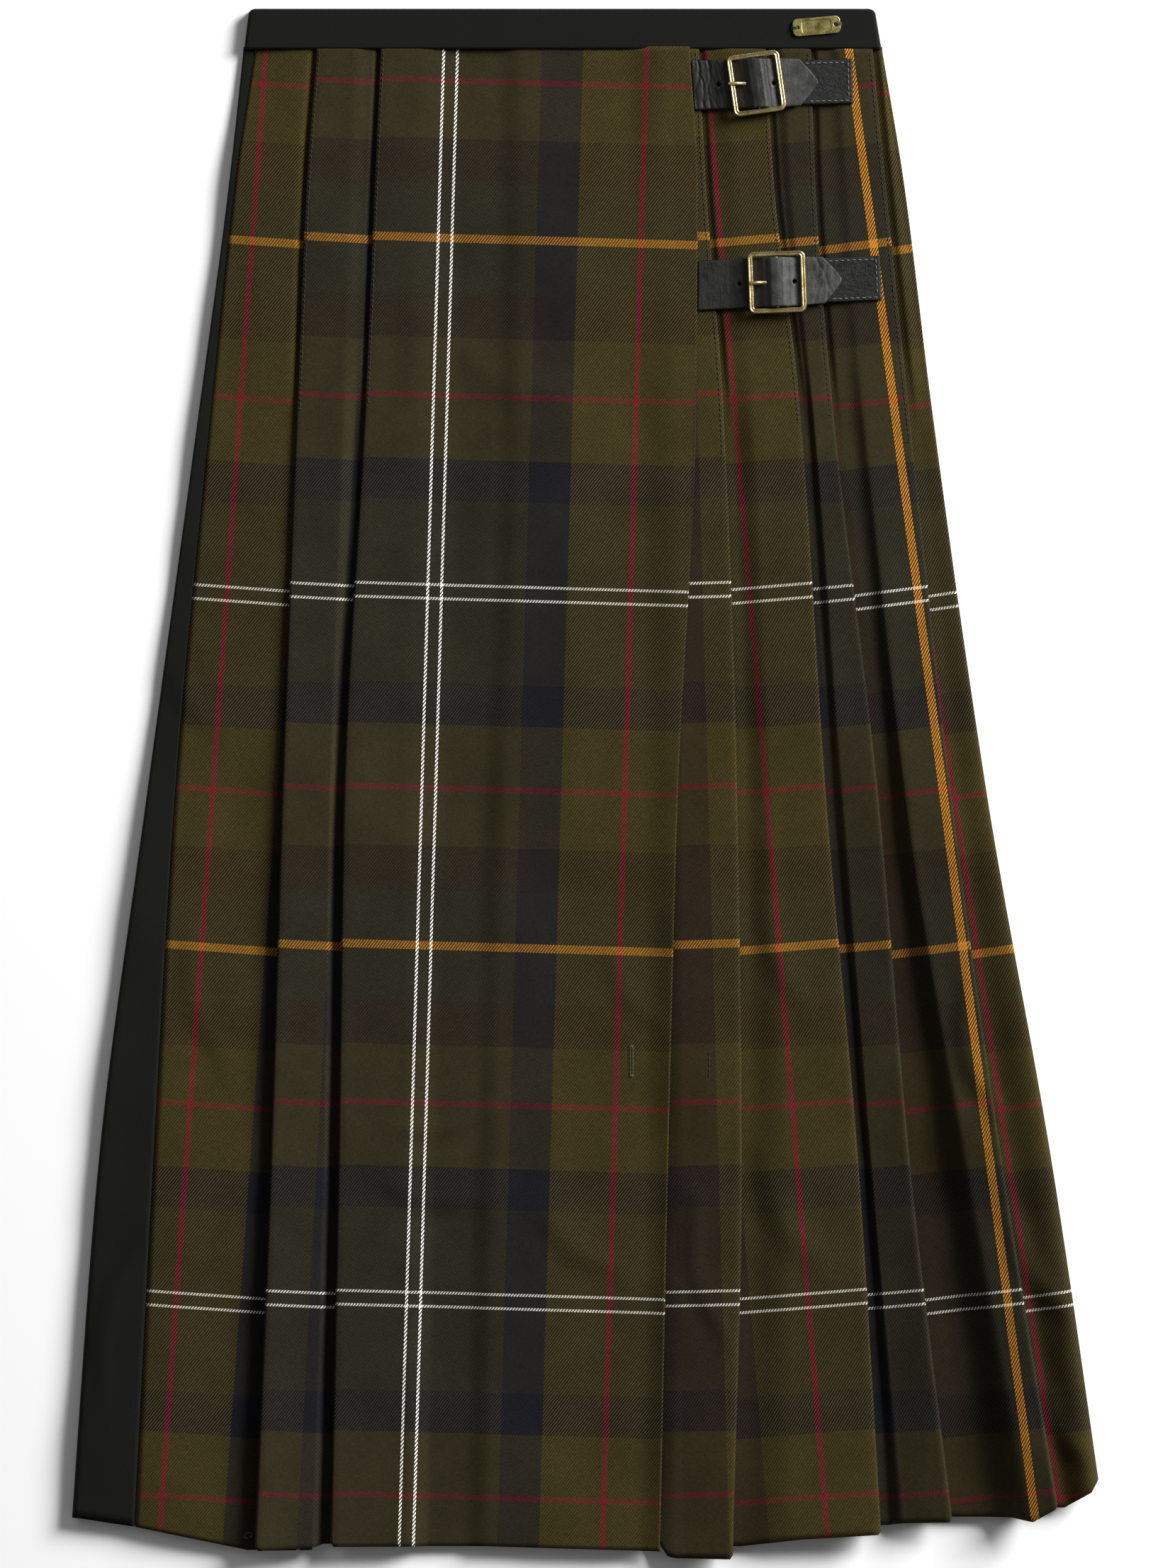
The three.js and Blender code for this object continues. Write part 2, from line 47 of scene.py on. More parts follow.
WAIST_SEAM_Y = 398.0
WAIST_TOP_Y = 420.4
LOWEST_Y = -422.0
UNDER_BAND_Y = 399.8
SEAM_GAP = 0.3
CLOTH = 1.1
CLOTH_SHELL = 0.9

# Every table has a value at each of these six heights.
HEIGHTS = {"waist": 398, "yoke": 325, "hip": 205, "mid": -6, "low": -210, "hem": -410}
LEVELS = np.array(list(HEIGHTS.values()), float)

OUTLINE = {
    "left": [-186.2, -194.1, -210.0, -238.6, -265.2, -280.0],
    "right": [159.8, 171.8, 186.6, 216.6, 252.4, 281.6],
    "side_seam": [-180.4, -191.2, -204.0, -223.7, -235.6, -246.0],
    "apron_edge": [55.6, 59.9, 59.2, 49.1, 43.7, 39.5],
    "underlap": [-34.0, -34.0, -34.0, -42.0, -48.0, -52.0],
}
SIDE_ROLL = {
    "left": [0.75, 0.75, 0.80, 1.40, 2.00, 2.60],
    "right": [0.75, 0.75, 0.85, 1.90, 3.40, 4.60],
}
PITCH = [1.45, 1.45, 1.45, 1.70, 2.00, 2.30]

LEFT_FOLDS = {
    "apron": {
        "edge": [-111.8, -115.1, -120.1, -131.5, -134.7, -138.8],
        "depth": [20.0, 20.0, 24.0, 30.0, 36.0, 40.0],
        "height": [4.9, 4.9, 4.9, 6.8, 8.2, 9.6],
        "hem": {"start": -413.9, "end": -414.0},
    },
    "strip": {
        "edge": [-146.5, -152.0, -157.0, -165.0, -171.4, -179.6],
        "depth": [20.0, 22.0, 24.0, 25.0, 28.0, 30.0],
        "height": [4.9, 4.9, 4.9, 7.4, 9.6, 11.6],
        "hem": {"start": -412.7, "end": -416.0},
    },
}
RIGHT_FOLDS = {
    "first": {
        "edge": [60.3, 64.0, 73.4, 80.9, 83.4, 78.7],
        "depth": [18.0, 20.0, 24.0, 28.0, 30.0, 30.0],
        "height": [4.9, 4.9, 4.9, 6.8, 8.2, 9.4],
        "hem": {"under": -412.0, "start": -419.5, "end": -420.8},
    },
    "second": {
        "edge": [96.6, 101.0, 115.0, 129.0, 146.9, 159.2],
        "depth": [18.0, 18.0, 24.0, 28.0, 36.0, 44.0],
        "height": [4.9, 4.9, 4.9, 6.8, 8.6, 10.4],
        "hem": {"start": -414.0, "end": -407.5},
    },
    "third": {
        "edge": [121.0, 123.4, 132.8, 157.3, 175.0, 198.8],
        "depth": [14.0, 12.0, 10.0, 18.0, 20.0, 26.0],
        "height": [4.9, 4.9, 4.9, 7.4, 10.6, 13.0],
        "hem": {"start": -402.5, "end": -400.5},
    },
    "ridge": {
        "edge": [154.5, 161.6, 174.0, 196.9, 225.0, 257.4],
        "depth": [18.0, 20.0, 24.0, 24.0, 18.0, 14.0],
        "height": [4.9, 4.9, 4.9, 10.5, 17.0, 21.5],
        "crest": 0.75,
        "hem": {"start": -398.0, "sag": 5.0, "end": -393.0},
    },
}
HEM = {
    "apron_edge": -416.6,
    "right_edge": -384.5,
    "right_seam": -385.0,
    "back_right": -390.0,
    "back_middle": -406.0,
    "left_edge": -398.6,
    "side_seam": -403.3,
}
CORNER_RISE = {"pleat": 2.5, "right_edge": 7.0}
RIGHT_WRAP = 15.0
PLEAT_CLEAR = 2.0
RISE_STEPS = 15
# Above the stitching's end each face is pressed up level with the layer over its foot.
PRESSED = {"lift": 1.45, "from": 185.0, "over": 50.0, "reach": 2.5}
APRON_FOOT = 22.0
APRON_LIFT = 0.3
APRON_DROP = {"end": 14.0, "flat": 20.0}

# Rows down each panel, so that none passes 200,000 triangles.
ROWS = {"right_panel": 224, "front_apron": 300, "back_panel": 150}
DENSITY = 1.0


def mix(a, b, t):
    return a + (b - a) * t


def ease(t):
    t = np.clip(t, 0.0, 1.0)
    return t * t * (3.0 - 2.0 * t)


def turned(points, degrees):
    """Points turned about the z axis."""
    angle = math.radians(degrees)
    points = np.asarray(points, float)
    x, y = points[..., 0], points[..., 1]
    out = points.copy()
    out[..., 0] = x * math.cos(angle) - y * math.sin(angle)
    out[..., 1] = x * math.sin(angle) + y * math.cos(angle)
    return out


def distances(line):
    """How far along a line each of its points is."""
    return np.concatenate([[0.0], np.cumsum(np.linalg.norm(np.diff(line, axis=0), axis=1))])


def circle(radius, count, x=0.0):
    angles = np.arange(count) * math.tau / count
    return [(x + radius * math.cos(angle), radius * math.sin(angle)) for angle in angles]


def read(row, y):
    """Monotone cubic through a table row, the same curve as the solids have."""
    row = np.asarray(row, float)
    y = np.clip(np.asarray(y, float), LEVELS[-1], LEVELS[0])
    spans = np.diff(LEVELS)
    rises = np.diff(row) / spans
    slopes = np.empty(len(row))
    slopes[0] = rises[0]
    slopes[-1] = rises[-1]
    for k in range(1, len(row) - 1):
        before, after = rises[k - 1], rises[k]
        slopes[k] = 0.0 if before * after <= 0 else 2 * before * after / (before + after)
    k = np.clip(np.searchsorted(-LEVELS, -y, side="right") - 1, 0, len(row) - 2)
    span = spans[k]
    t = (y - LEVELS[k]) / span
    bend = t * (1 - t) * span
    return mix(row[k], row[k + 1], ease(t)) + bend * ((1 - t) * slopes[k] - t * slopes[k + 1])


class Section:
    """Points across a panel: x, z and the developed x of the cloth, each an array over all heights."""

    def __init__(self, y, x, z, hem, face):
        self.y = y
        self.face = face
        self.points = [(x + 0 * y, z + 0 * y, x + 0 * y, hem, face)]

    def to(self, x, z, hem, steps, curve=lambda t: t, folded=0):
        x0, z0, m0, hem0, _ = self.points[-1]
        count = max(1, round(steps * DENSITY))
        for step in range(1, count + 1):
            t = step / count
            px = mix(x0, x, t)
            m = px if folded == 0 else m0 + folded * np.abs(px - x0)
            self.points.append((px, mix(z0, z, curve(t)), m, mix(hem0, hem, t), self.face))

    def turn_down(self, radius, side, steps, rise=0.0, keep_developing=True):
        """Half a turn down; its middle ends higher by rise, which rounds the hem's corner."""
        x0, z0, m0, hem0, _ = self.points[-1]
        for step in range(1, steps + 1):
            angle = math.pi * step / steps
            px = x0 + side * radius * math.sin(angle)
            pz = z0 - radius * (1 - math.cos(angle))
            m = m0 + side * radius * angle if keep_developing else px
            self.points.append((px, pz, m, hem0 + rise * math.sin(angle), self.face))

    def start_face(self, face):
        """The next points are on another face, whose cloth is read from its own place."""
        self.face = face


def floor_level(y):
    return CLOTH / 2 + read(PITCH, y)


def lift_level(fold, y):
    lowest = floor_level(y) + 2 * read(PITCH, y)
    return mix(lowest, np.maximum(lowest, read(fold["height"], y)), fold.get("crest", 0.0))


def pressed_lift(y):
    return PRESSED["lift"] * ease((y - PRESSED["from"]) / PRESSED["over"])


def add_pleat(section, fold, side, y, foot_x, foot_lift, next_face, next_hem):
    pitch = read(PITCH, y)
    floor = floor_level(y)
    edge = read(fold["edge"], y)
    inner = edge - side * read(fold["depth"], y)
    height = np.maximum(read(fold["height"], y), floor + 2 * pitch)
    radius = pitch / 2
    start, end = fold["hem"]["start"], fold["hem"]["end"]
    under = fold["hem"].get("under", start)
    sag = fold["hem"].get("sag", 0.0)
    bottom = mix(start, end, 0.6) - sag
    bends = [0.5, 0.75, 1.0] if sag or under != start else [0.0, 0.02, 1.0]
    section.to(foot_x, floor, under, 4)
    foot_x = foot_x + side * PRESSED["reach"]
    section.to(foot_x, floor + foot_lift, under, 3, ease)
    for step in range(1, RISE_STEPS + 1):
        t = step / RISE_STEPS
        hem = np.interp(t, bends, [under, start, bottom])
        late = ease(t ** (1.0 + 1.9 * fold.get("crest", 0.0)))
        section.to(mix(foot_x, inner, t), mix(floor + foot_lift, lift_level(fold, y), late), hem, 1)
    section.to(edge - side * radius, height, end, 12)
    section.turn_down(radius, side, 6, CORNER_RISE["pleat"])
    section.to(inner + side * radius, floor + pitch, next_hem, 3, folded=side)
    section.start_face(next_face)
    section.turn_down(radius, -side, 4, keep_developing=False)


def add_pleats(section, folds, side, y, first_foot_x, last_face):
    names = list(folds)
    foot_x = first_foot_x
    for index, name in enumerate(names):
        fold = folds[name]
        following = names[index + 1] if index + 1 < len(names) else last_face
        next_hem = folds[following]["hem"]["start"] if following in folds else fold["hem"]["end"]
        foot_lift = pressed_lift(y) if index > 0 else 0.0
        add_pleat(section, fold, side, y, foot_x, foot_lift, following, next_hem)
        foot_x = read(fold["edge"], y) + side * PLEAT_CLEAR
    return foot_x


def start_last_face(section, y, foot_x, side, hem):
    """The foot of the face beyond the last pleat."""
    section.to(foot_x, floor_level(y), hem, 3)
    section.to(foot_x + side * PRESSED["reach"], floor_level(y) + pressed_lift(y), hem, 2, ease)


def first_foot(y):
    fold = RIGHT_FOLDS["first"]
    return read(fold["edge"], y) - read(fold["depth"], y) - APRON_FOOT


def right_section(y):
    floor = floor_level(y)
    hidden_hem = RIGHT_FOLDS["first"]["hem"]["under"]
    section = Section(y, read(OUTLINE["underlap"], y), floor, hidden_hem, "first")
    foot_x = add_pleats(section, RIGHT_FOLDS, 1, y, first_foot(y), "edge")
    roll = read(SIDE_ROLL["right"], y)
    edge = read(OUTLINE["right"], y)
    start_last_face(section, y, foot_x, 1, RIGHT_FOLDS["ridge"]["hem"]["end"])
    section.to(edge - roll, CLOTH / 2 + 2 * roll, HEM["right_edge"], 12, ease)
    section.turn_down(roll, 1, 12, CORNER_RISE["right_edge"])
    section.to(edge - RIGHT_WRAP + SEAM_GAP / 2, CLOTH / 2, HEM["right_seam"], 3, folded=1)
    return section


def under_apron(x, y):
    fold = RIGHT_FOLDS["first"]
    inner = read(fold["edge"], y) - read(fold["depth"], y)
    edge = read(fold["edge"], y)
    floor = floor_level(y)
    foot = first_foot(y)
    lift = lift_level(fold, y)
    ramp = mix(floor, lift, ease((x - foot) / (inner - foot)))
    top = mix(lift, read(fold["height"], y), (x - inner) / (edge - inner))
    return np.where(x < inner, ramp, top)


def apron_section(y):
    pitch = read(PITCH, y) + APRON_LIFT
    floor = floor_level(y)
    edge = read(OUTLINE["apron_edge"], y)
    under = read(OUTLINE["underlap"], y) - 1
    hem = LEFT_FOLDS["apron"]["hem"]["start"]
    section = Section(y, edge, under_apron(edge, y) + pitch, HEM["apron_edge"], "apron")
    samples = max(12, round(36 * DENSITY))
    for step in range(1, samples + 1):
        share = (step / samples) ** 1.3
        x = mix(edge, under, share)
        section.to(x, under_apron(x, y) + pitch, mix(HEM["apron_edge"], hem, share), 1)
    section.to(under - APRON_DROP["end"], floor, hem, 8, ease)
    section.to(under - APRON_DROP["flat"], floor, hem, 3)
    foot_x = add_pleats(section, LEFT_FOLDS, -1, y, under - 30, "side")
    start_last_face(section, y, foot_x, -1, LEFT_FOLDS["strip"]["hem"]["end"])
    seam_z = CLOTH / 2 + 2 * read(SIDE_ROLL["left"], y)
    section.to(read(OUTLINE["side_seam"], y) + SEAM_GAP / 2, seam_z, HEM["side_seam"], 18, ease)
    return section


def back_section(y):
    roll = read(SIDE_ROLL["left"], y)
    left = read(OUTLINE["left"], y)
    right = read(OUTLINE["right"], y)
    top = CLOTH / 2 + 2 * roll
    section = Section(y, read(OUTLINE["side_seam"], y) - SEAM_GAP / 2, top, HEM["side_seam"], "back")
    section.to(left + roll, top, HEM["left_edge"], 14)
    section.turn_down(roll, -1, 10)
    section.to(left + 60, CLOTH / 2, HEM["back_middle"], 6, folded=-1)
    section.to(right - 160, CLOTH / 2, HEM["back_middle"], 10, folded=-1)
    section.to(right - 60, CLOTH / 2, HEM["back_right"], 5, folded=-1)
    section.to(right - RIGHT_WRAP - SEAM_GAP / 2, CLOTH / 2, HEM["right_seam"], 3, folded=-1)
    return section


# Soft creases in the laid cloth: start, end, half width and height.
CREASES = [
    ((-100, -188), (-48, -172), 5.0, 0.9),
    ((-110, -214), (-60, -226), 6.0, 0.8),
    ((-20, -236), (14, -262), 7.0, 0.9),
    ((-96, 42), (-40, 60), 8.0, 0.6),
    ((-30, 118), (30, 128), 7.0, 0.5),
    ((-70, 236), (-20, 214), 9.0, 0.6),
    ((14, -96), (40, -130), 6.0, 0.6),
    ((-214, -80), (-196, -150), 6.0, 0.7),
    ((-224, 60), (-198, 30), 6.0, 0.6),
    ((60, -230), (76, -300), 5.0, 0.8),
    ((100, -40), (118, -120), 7.0, 0.8),
    ((96, -200), (128, -262), 8.0, 0.9),
    ((206, -110), (222, -176), 6.0, 1.2),
    ((232, -236), (262, -286), 7.0, 1.4),
    ((252, -330), (270, -366), 6.0, 1.2),
    ((-240, -250), (-262, -330), 6.0, 0.8),
]
# Long swells of the cloth: wave length, direction in degrees, height and phase.
SWELLS = [
    (150.0, 14.0, 0.55, 0.4),
    (96.0, -24.0, 0.40, 2.1),
    (61.0, 54.0, 0.22, 4.0),
    (41.0, 4.0, 0.14, 1.3),
    (27.0, -8.0, 0.07, 5.2),
]
CREASE_ROOM = 0.6


def relief(x, y):
    """How far the laid cloth stands up at a place: one field for all layers, so none cross."""
    total = np.zeros_like(x)
    for length, direction, height, phase in SWELLS:
        angle = math.radians(direction)
        along = x * math.cos(angle) + y * math.sin(angle)
        bend = 0.9 * np.sin(y / 67.0 + phase) + 0.5 * np.sin(y / 29.0 + 2 * phase)
        total += height * (1.0 + np.sin(2 * math.pi * along / length + phase + bend))
    for (x0, y0), (x1, y1), width, height in CREASES:
        dx, dy = x1 - x0, y1 - y0
        length = math.hypot(dx, dy)
        along = ((x - x0) * dx + (y - y0) * dy) / length
        off = ((x - x0) * dy - (y - y0) * dx) / length
        bow = 0.12 * length * np.sin(math.pi * np.clip(along / length, 0, 1))
        ends = ease((along + 0.3 * length) / (0.5 * length)) * ease((1.3 * length - along) / (0.5 * length))
        reach = (off - bow) / width
        total += height * ends * (np.exp(-(reach**2)) - 0.45 * np.exp(-((reach - 1.6) ** 2)))
    below_band = ease((WAIST_SEAM_Y - y) / 70.0)
    under_straps = ease((x - 28.0) / 20.0) * ease((y - 200.0) / 40.0)
    return np.maximum(total + CREASE_ROOM, 0.0) * below_band * (1.0 - under_straps)


def raised(x, y, z):
    """Lifts the cloth by the relief wherever it isn't the layer that rests on the floor."""
    share = np.clip((z - 0.9) / 0.8, 0.0, 1.0)
    return z + (relief(x, y) - seam_groove(x, y)) * share


# Where the cloth of each face is read: a point on it, the point of the check there, and how far the
# warp leans from upright, in degrees, its foot towards +X.
CLOTH_PLACES = {
    "apron": {"at": (-80.0, 200.0), "check": (192.0, -96.0), "lean": -1.7},
    "strip": {"at": (-138.0, 200.0), "check": (-155.0, -96.0), "lean": -3.0},
    "side": {"at": (-180.0, 200.0), "check": (-290.0, -94.0), "lean": -4.1},
    "first": {"at": (66.0, 200.0), "check": (60.0, -97.0), "lean": 1.6},
    "second": {"at": (95.0, 200.0), "check": (100.0, -95.0), "lean": 4.7},
    "third": {"at": (122.0, 200.0), "check": (150.0, -94.0), "lean": 5.5},
    "ridge": {"at": (155.0, 200.0), "check": (-12.0, -92.0), "lean": 7.2},
    "edge": {"at": (180.0, 200.0), "check": (97.0, -90.0), "lean": 8.5},
    "back": {"at": (0.0, 0.0), "check": (0.0, 0.0), "lean": 0.0},
}


def cloth_uv(face, developed_x, y):
    """Cloth coordinates in metres: across the warp, and along it."""
    place = CLOTH_PLACES[face]
    lean = math.radians(place["lean"])
    dx = developed_x - place["at"][0]
    dy = y - place["at"][1]
    across = dx * math.cos(lean) + dy * math.sin(lean) + place["check"][0]
    along = -dx * math.sin(lean) + dy * math.cos(lean) + place["check"][1]
    return across * MM, along * MM


def panel_grid(section_at, rows):
    """Points and cloth coordinates of a panel, column by column, from the waist seam to each hem."""
    reading = np.linspace(UNDER_BAND_Y, LOWEST_Y, 480)
    section = section_at(reading)
    places, coordinates = [], []
    for x, z, developed, hem, face in section.points:
        y = np.linspace(UNDER_BAND_Y, hem, rows)
        px = np.interp(-y, -reading, x)
        pz = np.interp(-y, -reading, z)
        pm = np.interp(-y, -reading, developed)
        places.append(np.stack([px, y, raised(px, y, pz)], axis=1))
        coordinates.append(np.stack(cloth_uv(face, pm, y), axis=1))
    return np.array(places), np.array(coordinates)


def to_metres(points):
    return (np.asarray(points, float) + CENTRING) * MM


def linked(name, data):
    """A new object with this data, in the scene."""
    made = bpy.data.objects.new(name, data)
    bpy.context.scene.collection.objects.link(made)
    return made


def evaluated_mesh(made):
    graph = bpy.context.evaluated_depsgraph_get()
    return bpy.data.meshes.new_from_object(made.evaluated_get(graph))


def vertex_places(made):
    places = np.empty(len(made.data.vertices) * 3)
    made.data.vertices.foreach_get("co", places)
    return places.reshape(-1, 3)


def set_places(made, places):
    made.data.vertices.foreach_set("co", places.ravel())
    made.data.update()


def new_object(name, vertices, faces, material, smooth=True):
    """An object from points in millimetres in the skirt's own place."""
    data = bpy.data.meshes.new(name)
    data.from_pydata(to_metres(vertices).tolist(), [], faces)
    data.update()
    if smooth:
        data.polygons.foreach_set("use_smooth", [True] * len(data.polygons))
    data.materials.append(material)
    return linked(name, data)


def grid_faces(columns, rows):
    i, j = np.meshgrid(np.arange(columns - 1), np.arange(rows - 1), indexing="ij")
    corner = (i * rows + j).ravel()
    return np.stack([corner, corner + 1, corner + rows + 1, corner + rows], axis=1)


def grid_object(name, grid, uv, material):
    """A thin cloth shell on a grid of middle points, with its cloth coordinates in the map 'cloth'."""
    columns, rows, _ = grid.shape
    faces = grid_faces(columns, rows)
    made = new_object(name, grid.reshape(-1, 3), faces.tolist(), material)
    layer = made.data.uv_layers.new(name="cloth")
    layer.data.foreach_set("uv", uv.reshape(-1, 2)[faces.ravel()].ravel())
    solid = made.modifiers.new("thickness", "SOLIDIFY")
    solid.thickness = CLOTH_SHELL * MM
    solid.offset = 0.0
    solid.use_rim = True
    return made


def tube_faces(first, rings, sides, closed=False):
    """The faces between rings of points, and the caps of an open tube."""
    faces = []
    for ring in range(rings if closed else rings - 1):
        a = first + ring * sides
        b = first + (ring + 1) % rings * sides
        for s in range(sides):
            t = (s + 1) % sides
            faces.append([a + s, a + t, b + t, b + s])
    if not closed:
        last = first + (rings - 1) * sides
        faces.append([first + s for s in range(sides)][::-1])
        faces.append([last + s for s in range(sides)])
    return faces


def closed_tube(
    name, path, half_width, half_height, sides, material, closed=True, squareness=1.0, groove=0.0
):
    """A wire swept along a path of (x, y, z) points in millimetres, its width in the plane of x and y."""
    path = np.asarray(path, float)
    count = len(path)
    rings = []
    for k in range(count):
        before = path[(k - 1) % count] if closed or k > 0 else path[0]
        after = path[(k + 1) % count] if closed or k < count - 1 else path[-1]
        along = (after - before) / np.linalg.norm(after - before)
        side = np.cross(along, [0.0, 0.0, 1.0])
        if np.linalg.norm(side) < 0.15:
            side = np.array([0.0, 1.0, 0.0])
        side = side / np.linalg.norm(side)
        up = np.cross(side, along)
        w = half_width[k] if np.ndim(half_width) else half_width
        h = half_height[k] if np.ndim(half_height) else half_height
        turn = 2 * np.pi * np.arange(sides) / sides
        across = w * np.sign(np.cos(turn)) * np.abs(np.cos(turn)) ** squareness
        upward = h * np.sign(np.sin(turn)) * np.abs(np.sin(turn)) ** squareness
        upward = upward - groove * np.exp(-((np.cos(turn) / 0.34) ** 2)) * (np.sin(turn) > 0)
        rings.append(path[k] + np.outer(across, side) + np.outer(upward, up))
    faces = tube_faces(0, count, sides, closed)
    return new_object(name, np.concatenate(rings), faces, material)


class Nodes:
    """A short way to build a node material."""

    def __init__(self, name):
        self.material = bpy.data.materials.new(name)
        self.material.use_nodes = True
        self.tree = self.material.node_tree
        self.shader = next(n for n in self.tree.nodes if n.type == "BSDF_PRINCIPLED")

    def add(self, kind, inputs=(), **settings):
        """A node; its inputs are given in order, or by name in a dict."""
        node = self.tree.nodes.new(kind)
        for key, value in settings.items():
            setattr(node, key, value)
        for key, value in inputs.items() if isinstance(inputs, dict) else enumerate(inputs):
            self.feed(node.inputs[key], value)
        return node

    def feed(self, socket, value):
        if value is None:
            return
        if isinstance(value, bpy.types.NodeSocket):
            self.tree.links.new(value, socket)
        else:
            socket.default_value = value

    def math(self, operation, *values):
        return self.add("ShaderNodeMath", values, operation=operation).outputs[0]

    def times(self, a, b):
        return self.math("MULTIPLY", a, b)

    def combine(self, x, y, z=0.0):
        return self.add("ShaderNodeCombineXYZ", (x, y, z)).outputs[0]

    def noise(self, vector, scale, detail=2.0, roughness=0.5):
        given = {"Vector": vector, "Scale": scale, "Detail": detail, "Roughness": roughness}
        return self.add("ShaderNodeTexNoise", given).outputs[0]

    def ranged(self, value, low, high, new_low, new_high):
        given = {"Value": value, "From Min": low, "From Max": high, "To Min": new_low, "To Max": new_high}
        return self.add("ShaderNodeMapRange", given).outputs[0]

    def blend(self, factor, a, b, how="MIX"):
        given = {0: factor, 6: a, 7: b}
        return self.add("ShaderNodeMix", given, data_type="RGBA", blend_type=how).outputs[2]

    def shaded(self, colour, share):
        """The colour times a share that is the same for red, green and blue."""
        return self.blend(1.0, colour, self.combine(share, share, share), "MULTIPLY")

    def ramp(self, factor, stops, interpolation="CONSTANT"):
        node = self.add("ShaderNodeValToRGB", (factor,))
        band = node.color_ramp
        band.interpolation = interpolation
        while len(band.elements) < len(stops):
            band.elements.new(1.0)
        for element, (position, colour) in zip(band.elements, stops):
            element.position = position
            element.color = (*colour[:3], 1.0)
        return node.outputs[0]

    def bump(self, height, distance, strength=1.0, normal=None):
        given = {"Strength": strength, "Distance": distance, "Height": height, "Normal": normal}
        return self.add("ShaderNodeBump", given).outputs[0]

    def set(self, **values):
        for name, value in values.items():
            self.feed(self.shader.inputs[name.replace("_", " ")], value)


def srgb(r, g, b):
    """Linear colour from 8-bit display values."""
    def linear(v):
        v /= 255.0
        return v / 12.92 if v <= 0.04045 else ((v + 0.055) / 1.055) ** 2.4
    return (linear(r), linear(g), linear(b), 1.0)


YARNS = {
    "olive": srgb(58, 50, 22),
    "charcoal": srgb(40, 37, 26),
    "brown": srgb(42, 31, 20),
    "navy": srgb(24, 23, 29),
    "amber": srgb(184, 120, 38),
    "red": srgb(112, 22, 35),
    "ivory": srgb(236, 234, 224),
}
# Half of the check, from one mirror line to the next: where each stripe starts, and its yarn.
HALF_CHECK = 192.0
STRIPES = [
    (0.0, "amber"),
    (1.9, "charcoal"),
    (30.0, "brown"),
    (54.0, "olive"),
    (84.0, "red"),
    (87.0, "olive"),
    (120.0, "navy"),
    (142.0, "charcoal"),
    (187.0, "ivory"),
    (189.0, "charcoal"),
]
TWILL = {"across": 1.6, "along": 2.25}
BLACK_TWILL = {"across": 1.1, "along": 1.5}


def twill(nodes, across, along, period):
    """The twill's diagonal: a wave from 0, weft on top, to 1, warp on top. Inputs in millimetres."""
    phase = nodes.math("SUBTRACT", nodes.math("DIVIDE", across, period["across"]),
                       nodes.math("DIVIDE", along, period["along"]))
    wave = nodes.math("SINE", nodes.times(phase, 2 * math.pi))
    return nodes.math("MULTIPLY_ADD", wave, 0.5, 0.5)


def cloth_coordinates(nodes):
    uv = nodes.add("ShaderNodeUVMap", uv_map="cloth").outputs[0]
    split = nodes.add("ShaderNodeSeparateXYZ", (uv,))
    return [nodes.times(split.outputs[k], 1.0 / MM) for k in range(2)]


def yarn_colour(nodes, place):
    distance = nodes.math("PINGPONG", place, HALF_CHECK)
    factor = nodes.math("DIVIDE", distance, HALF_CHECK)
    return nodes.ramp(factor, [(start / HALF_CHECK, YARNS[yarn]) for start, yarn in STRIPES])


def flecked(nodes, colour, place, shades):
    """Yarn whose shade varies along it between two shares of its colour."""
    fleck = nodes.noise(nodes.combine(*place), 1.0, 2.0, 0.6)
    stops = [(at, (shade,) * 3) for at, shade in zip((0.25, 0.75), shades)]
    return nodes.blend(1.0, colour, nodes.ramp(fleck, stops, "LINEAR"), "MULTIPLY")


# Flecks vary fast across a yarn and slowly along it, per millimetre.
FLECK = {"across": 1.6, "along": 0.35}


def tartan_material():
    nodes = Nodes("tartan_twill")
    across, along = cloth_coordinates(nodes)
    over = twill(nodes, across, along, TWILL)
    pick = nodes.ranged(over, 0.35, 0.65, 0.0, 1.0)
    warp_place = (nodes.times(across, FLECK["across"]), nodes.times(along, FLECK["along"]))
    weft_place = (nodes.times(across, FLECK["along"]), nodes.times(along, FLECK["across"]), 7.0)
    warp = flecked(nodes, yarn_colour(nodes, across), warp_place, (0.62, 1.4))
    weft = flecked(nodes, yarn_colour(nodes, along), weft_place, (0.6, 1.35))
    cloth = nodes.blend(pick, weft, warp)
    # Painted shade and highlight of the twill's ribs: the cloth is painted darker where the weft is on top
    # and lighter where the warp is, even where both yarns are one colour.
    cloth_with_painted_rib_shade = nodes.shaded(cloth, nodes.ranged(over, 0.0, 1.0, 0.56, 1.28))
    mottle = nodes.noise(nodes.combine(across, along), 0.06, 3.0, 0.55)
    nodes.set(Base_Color=nodes.shaded(cloth_with_painted_rib_shade, nodes.ranged(mottle, 0.3, 0.7, 0.92, 1.1)))
    nodes.set(Roughness=0.85, Sheen_Weight=0.02, Sheen_Roughness=0.5, Specular_IOR_Level=0.08)
    fuzz = nodes.noise(nodes.combine(across, along), 1.9, 3.0, 0.7)
    height = nodes.math("ADD", over, nodes.times(fuzz, 0.7))
    nodes.set(Normal=nodes.bump(height, 0.00022, 0.5))
    return nodes.material


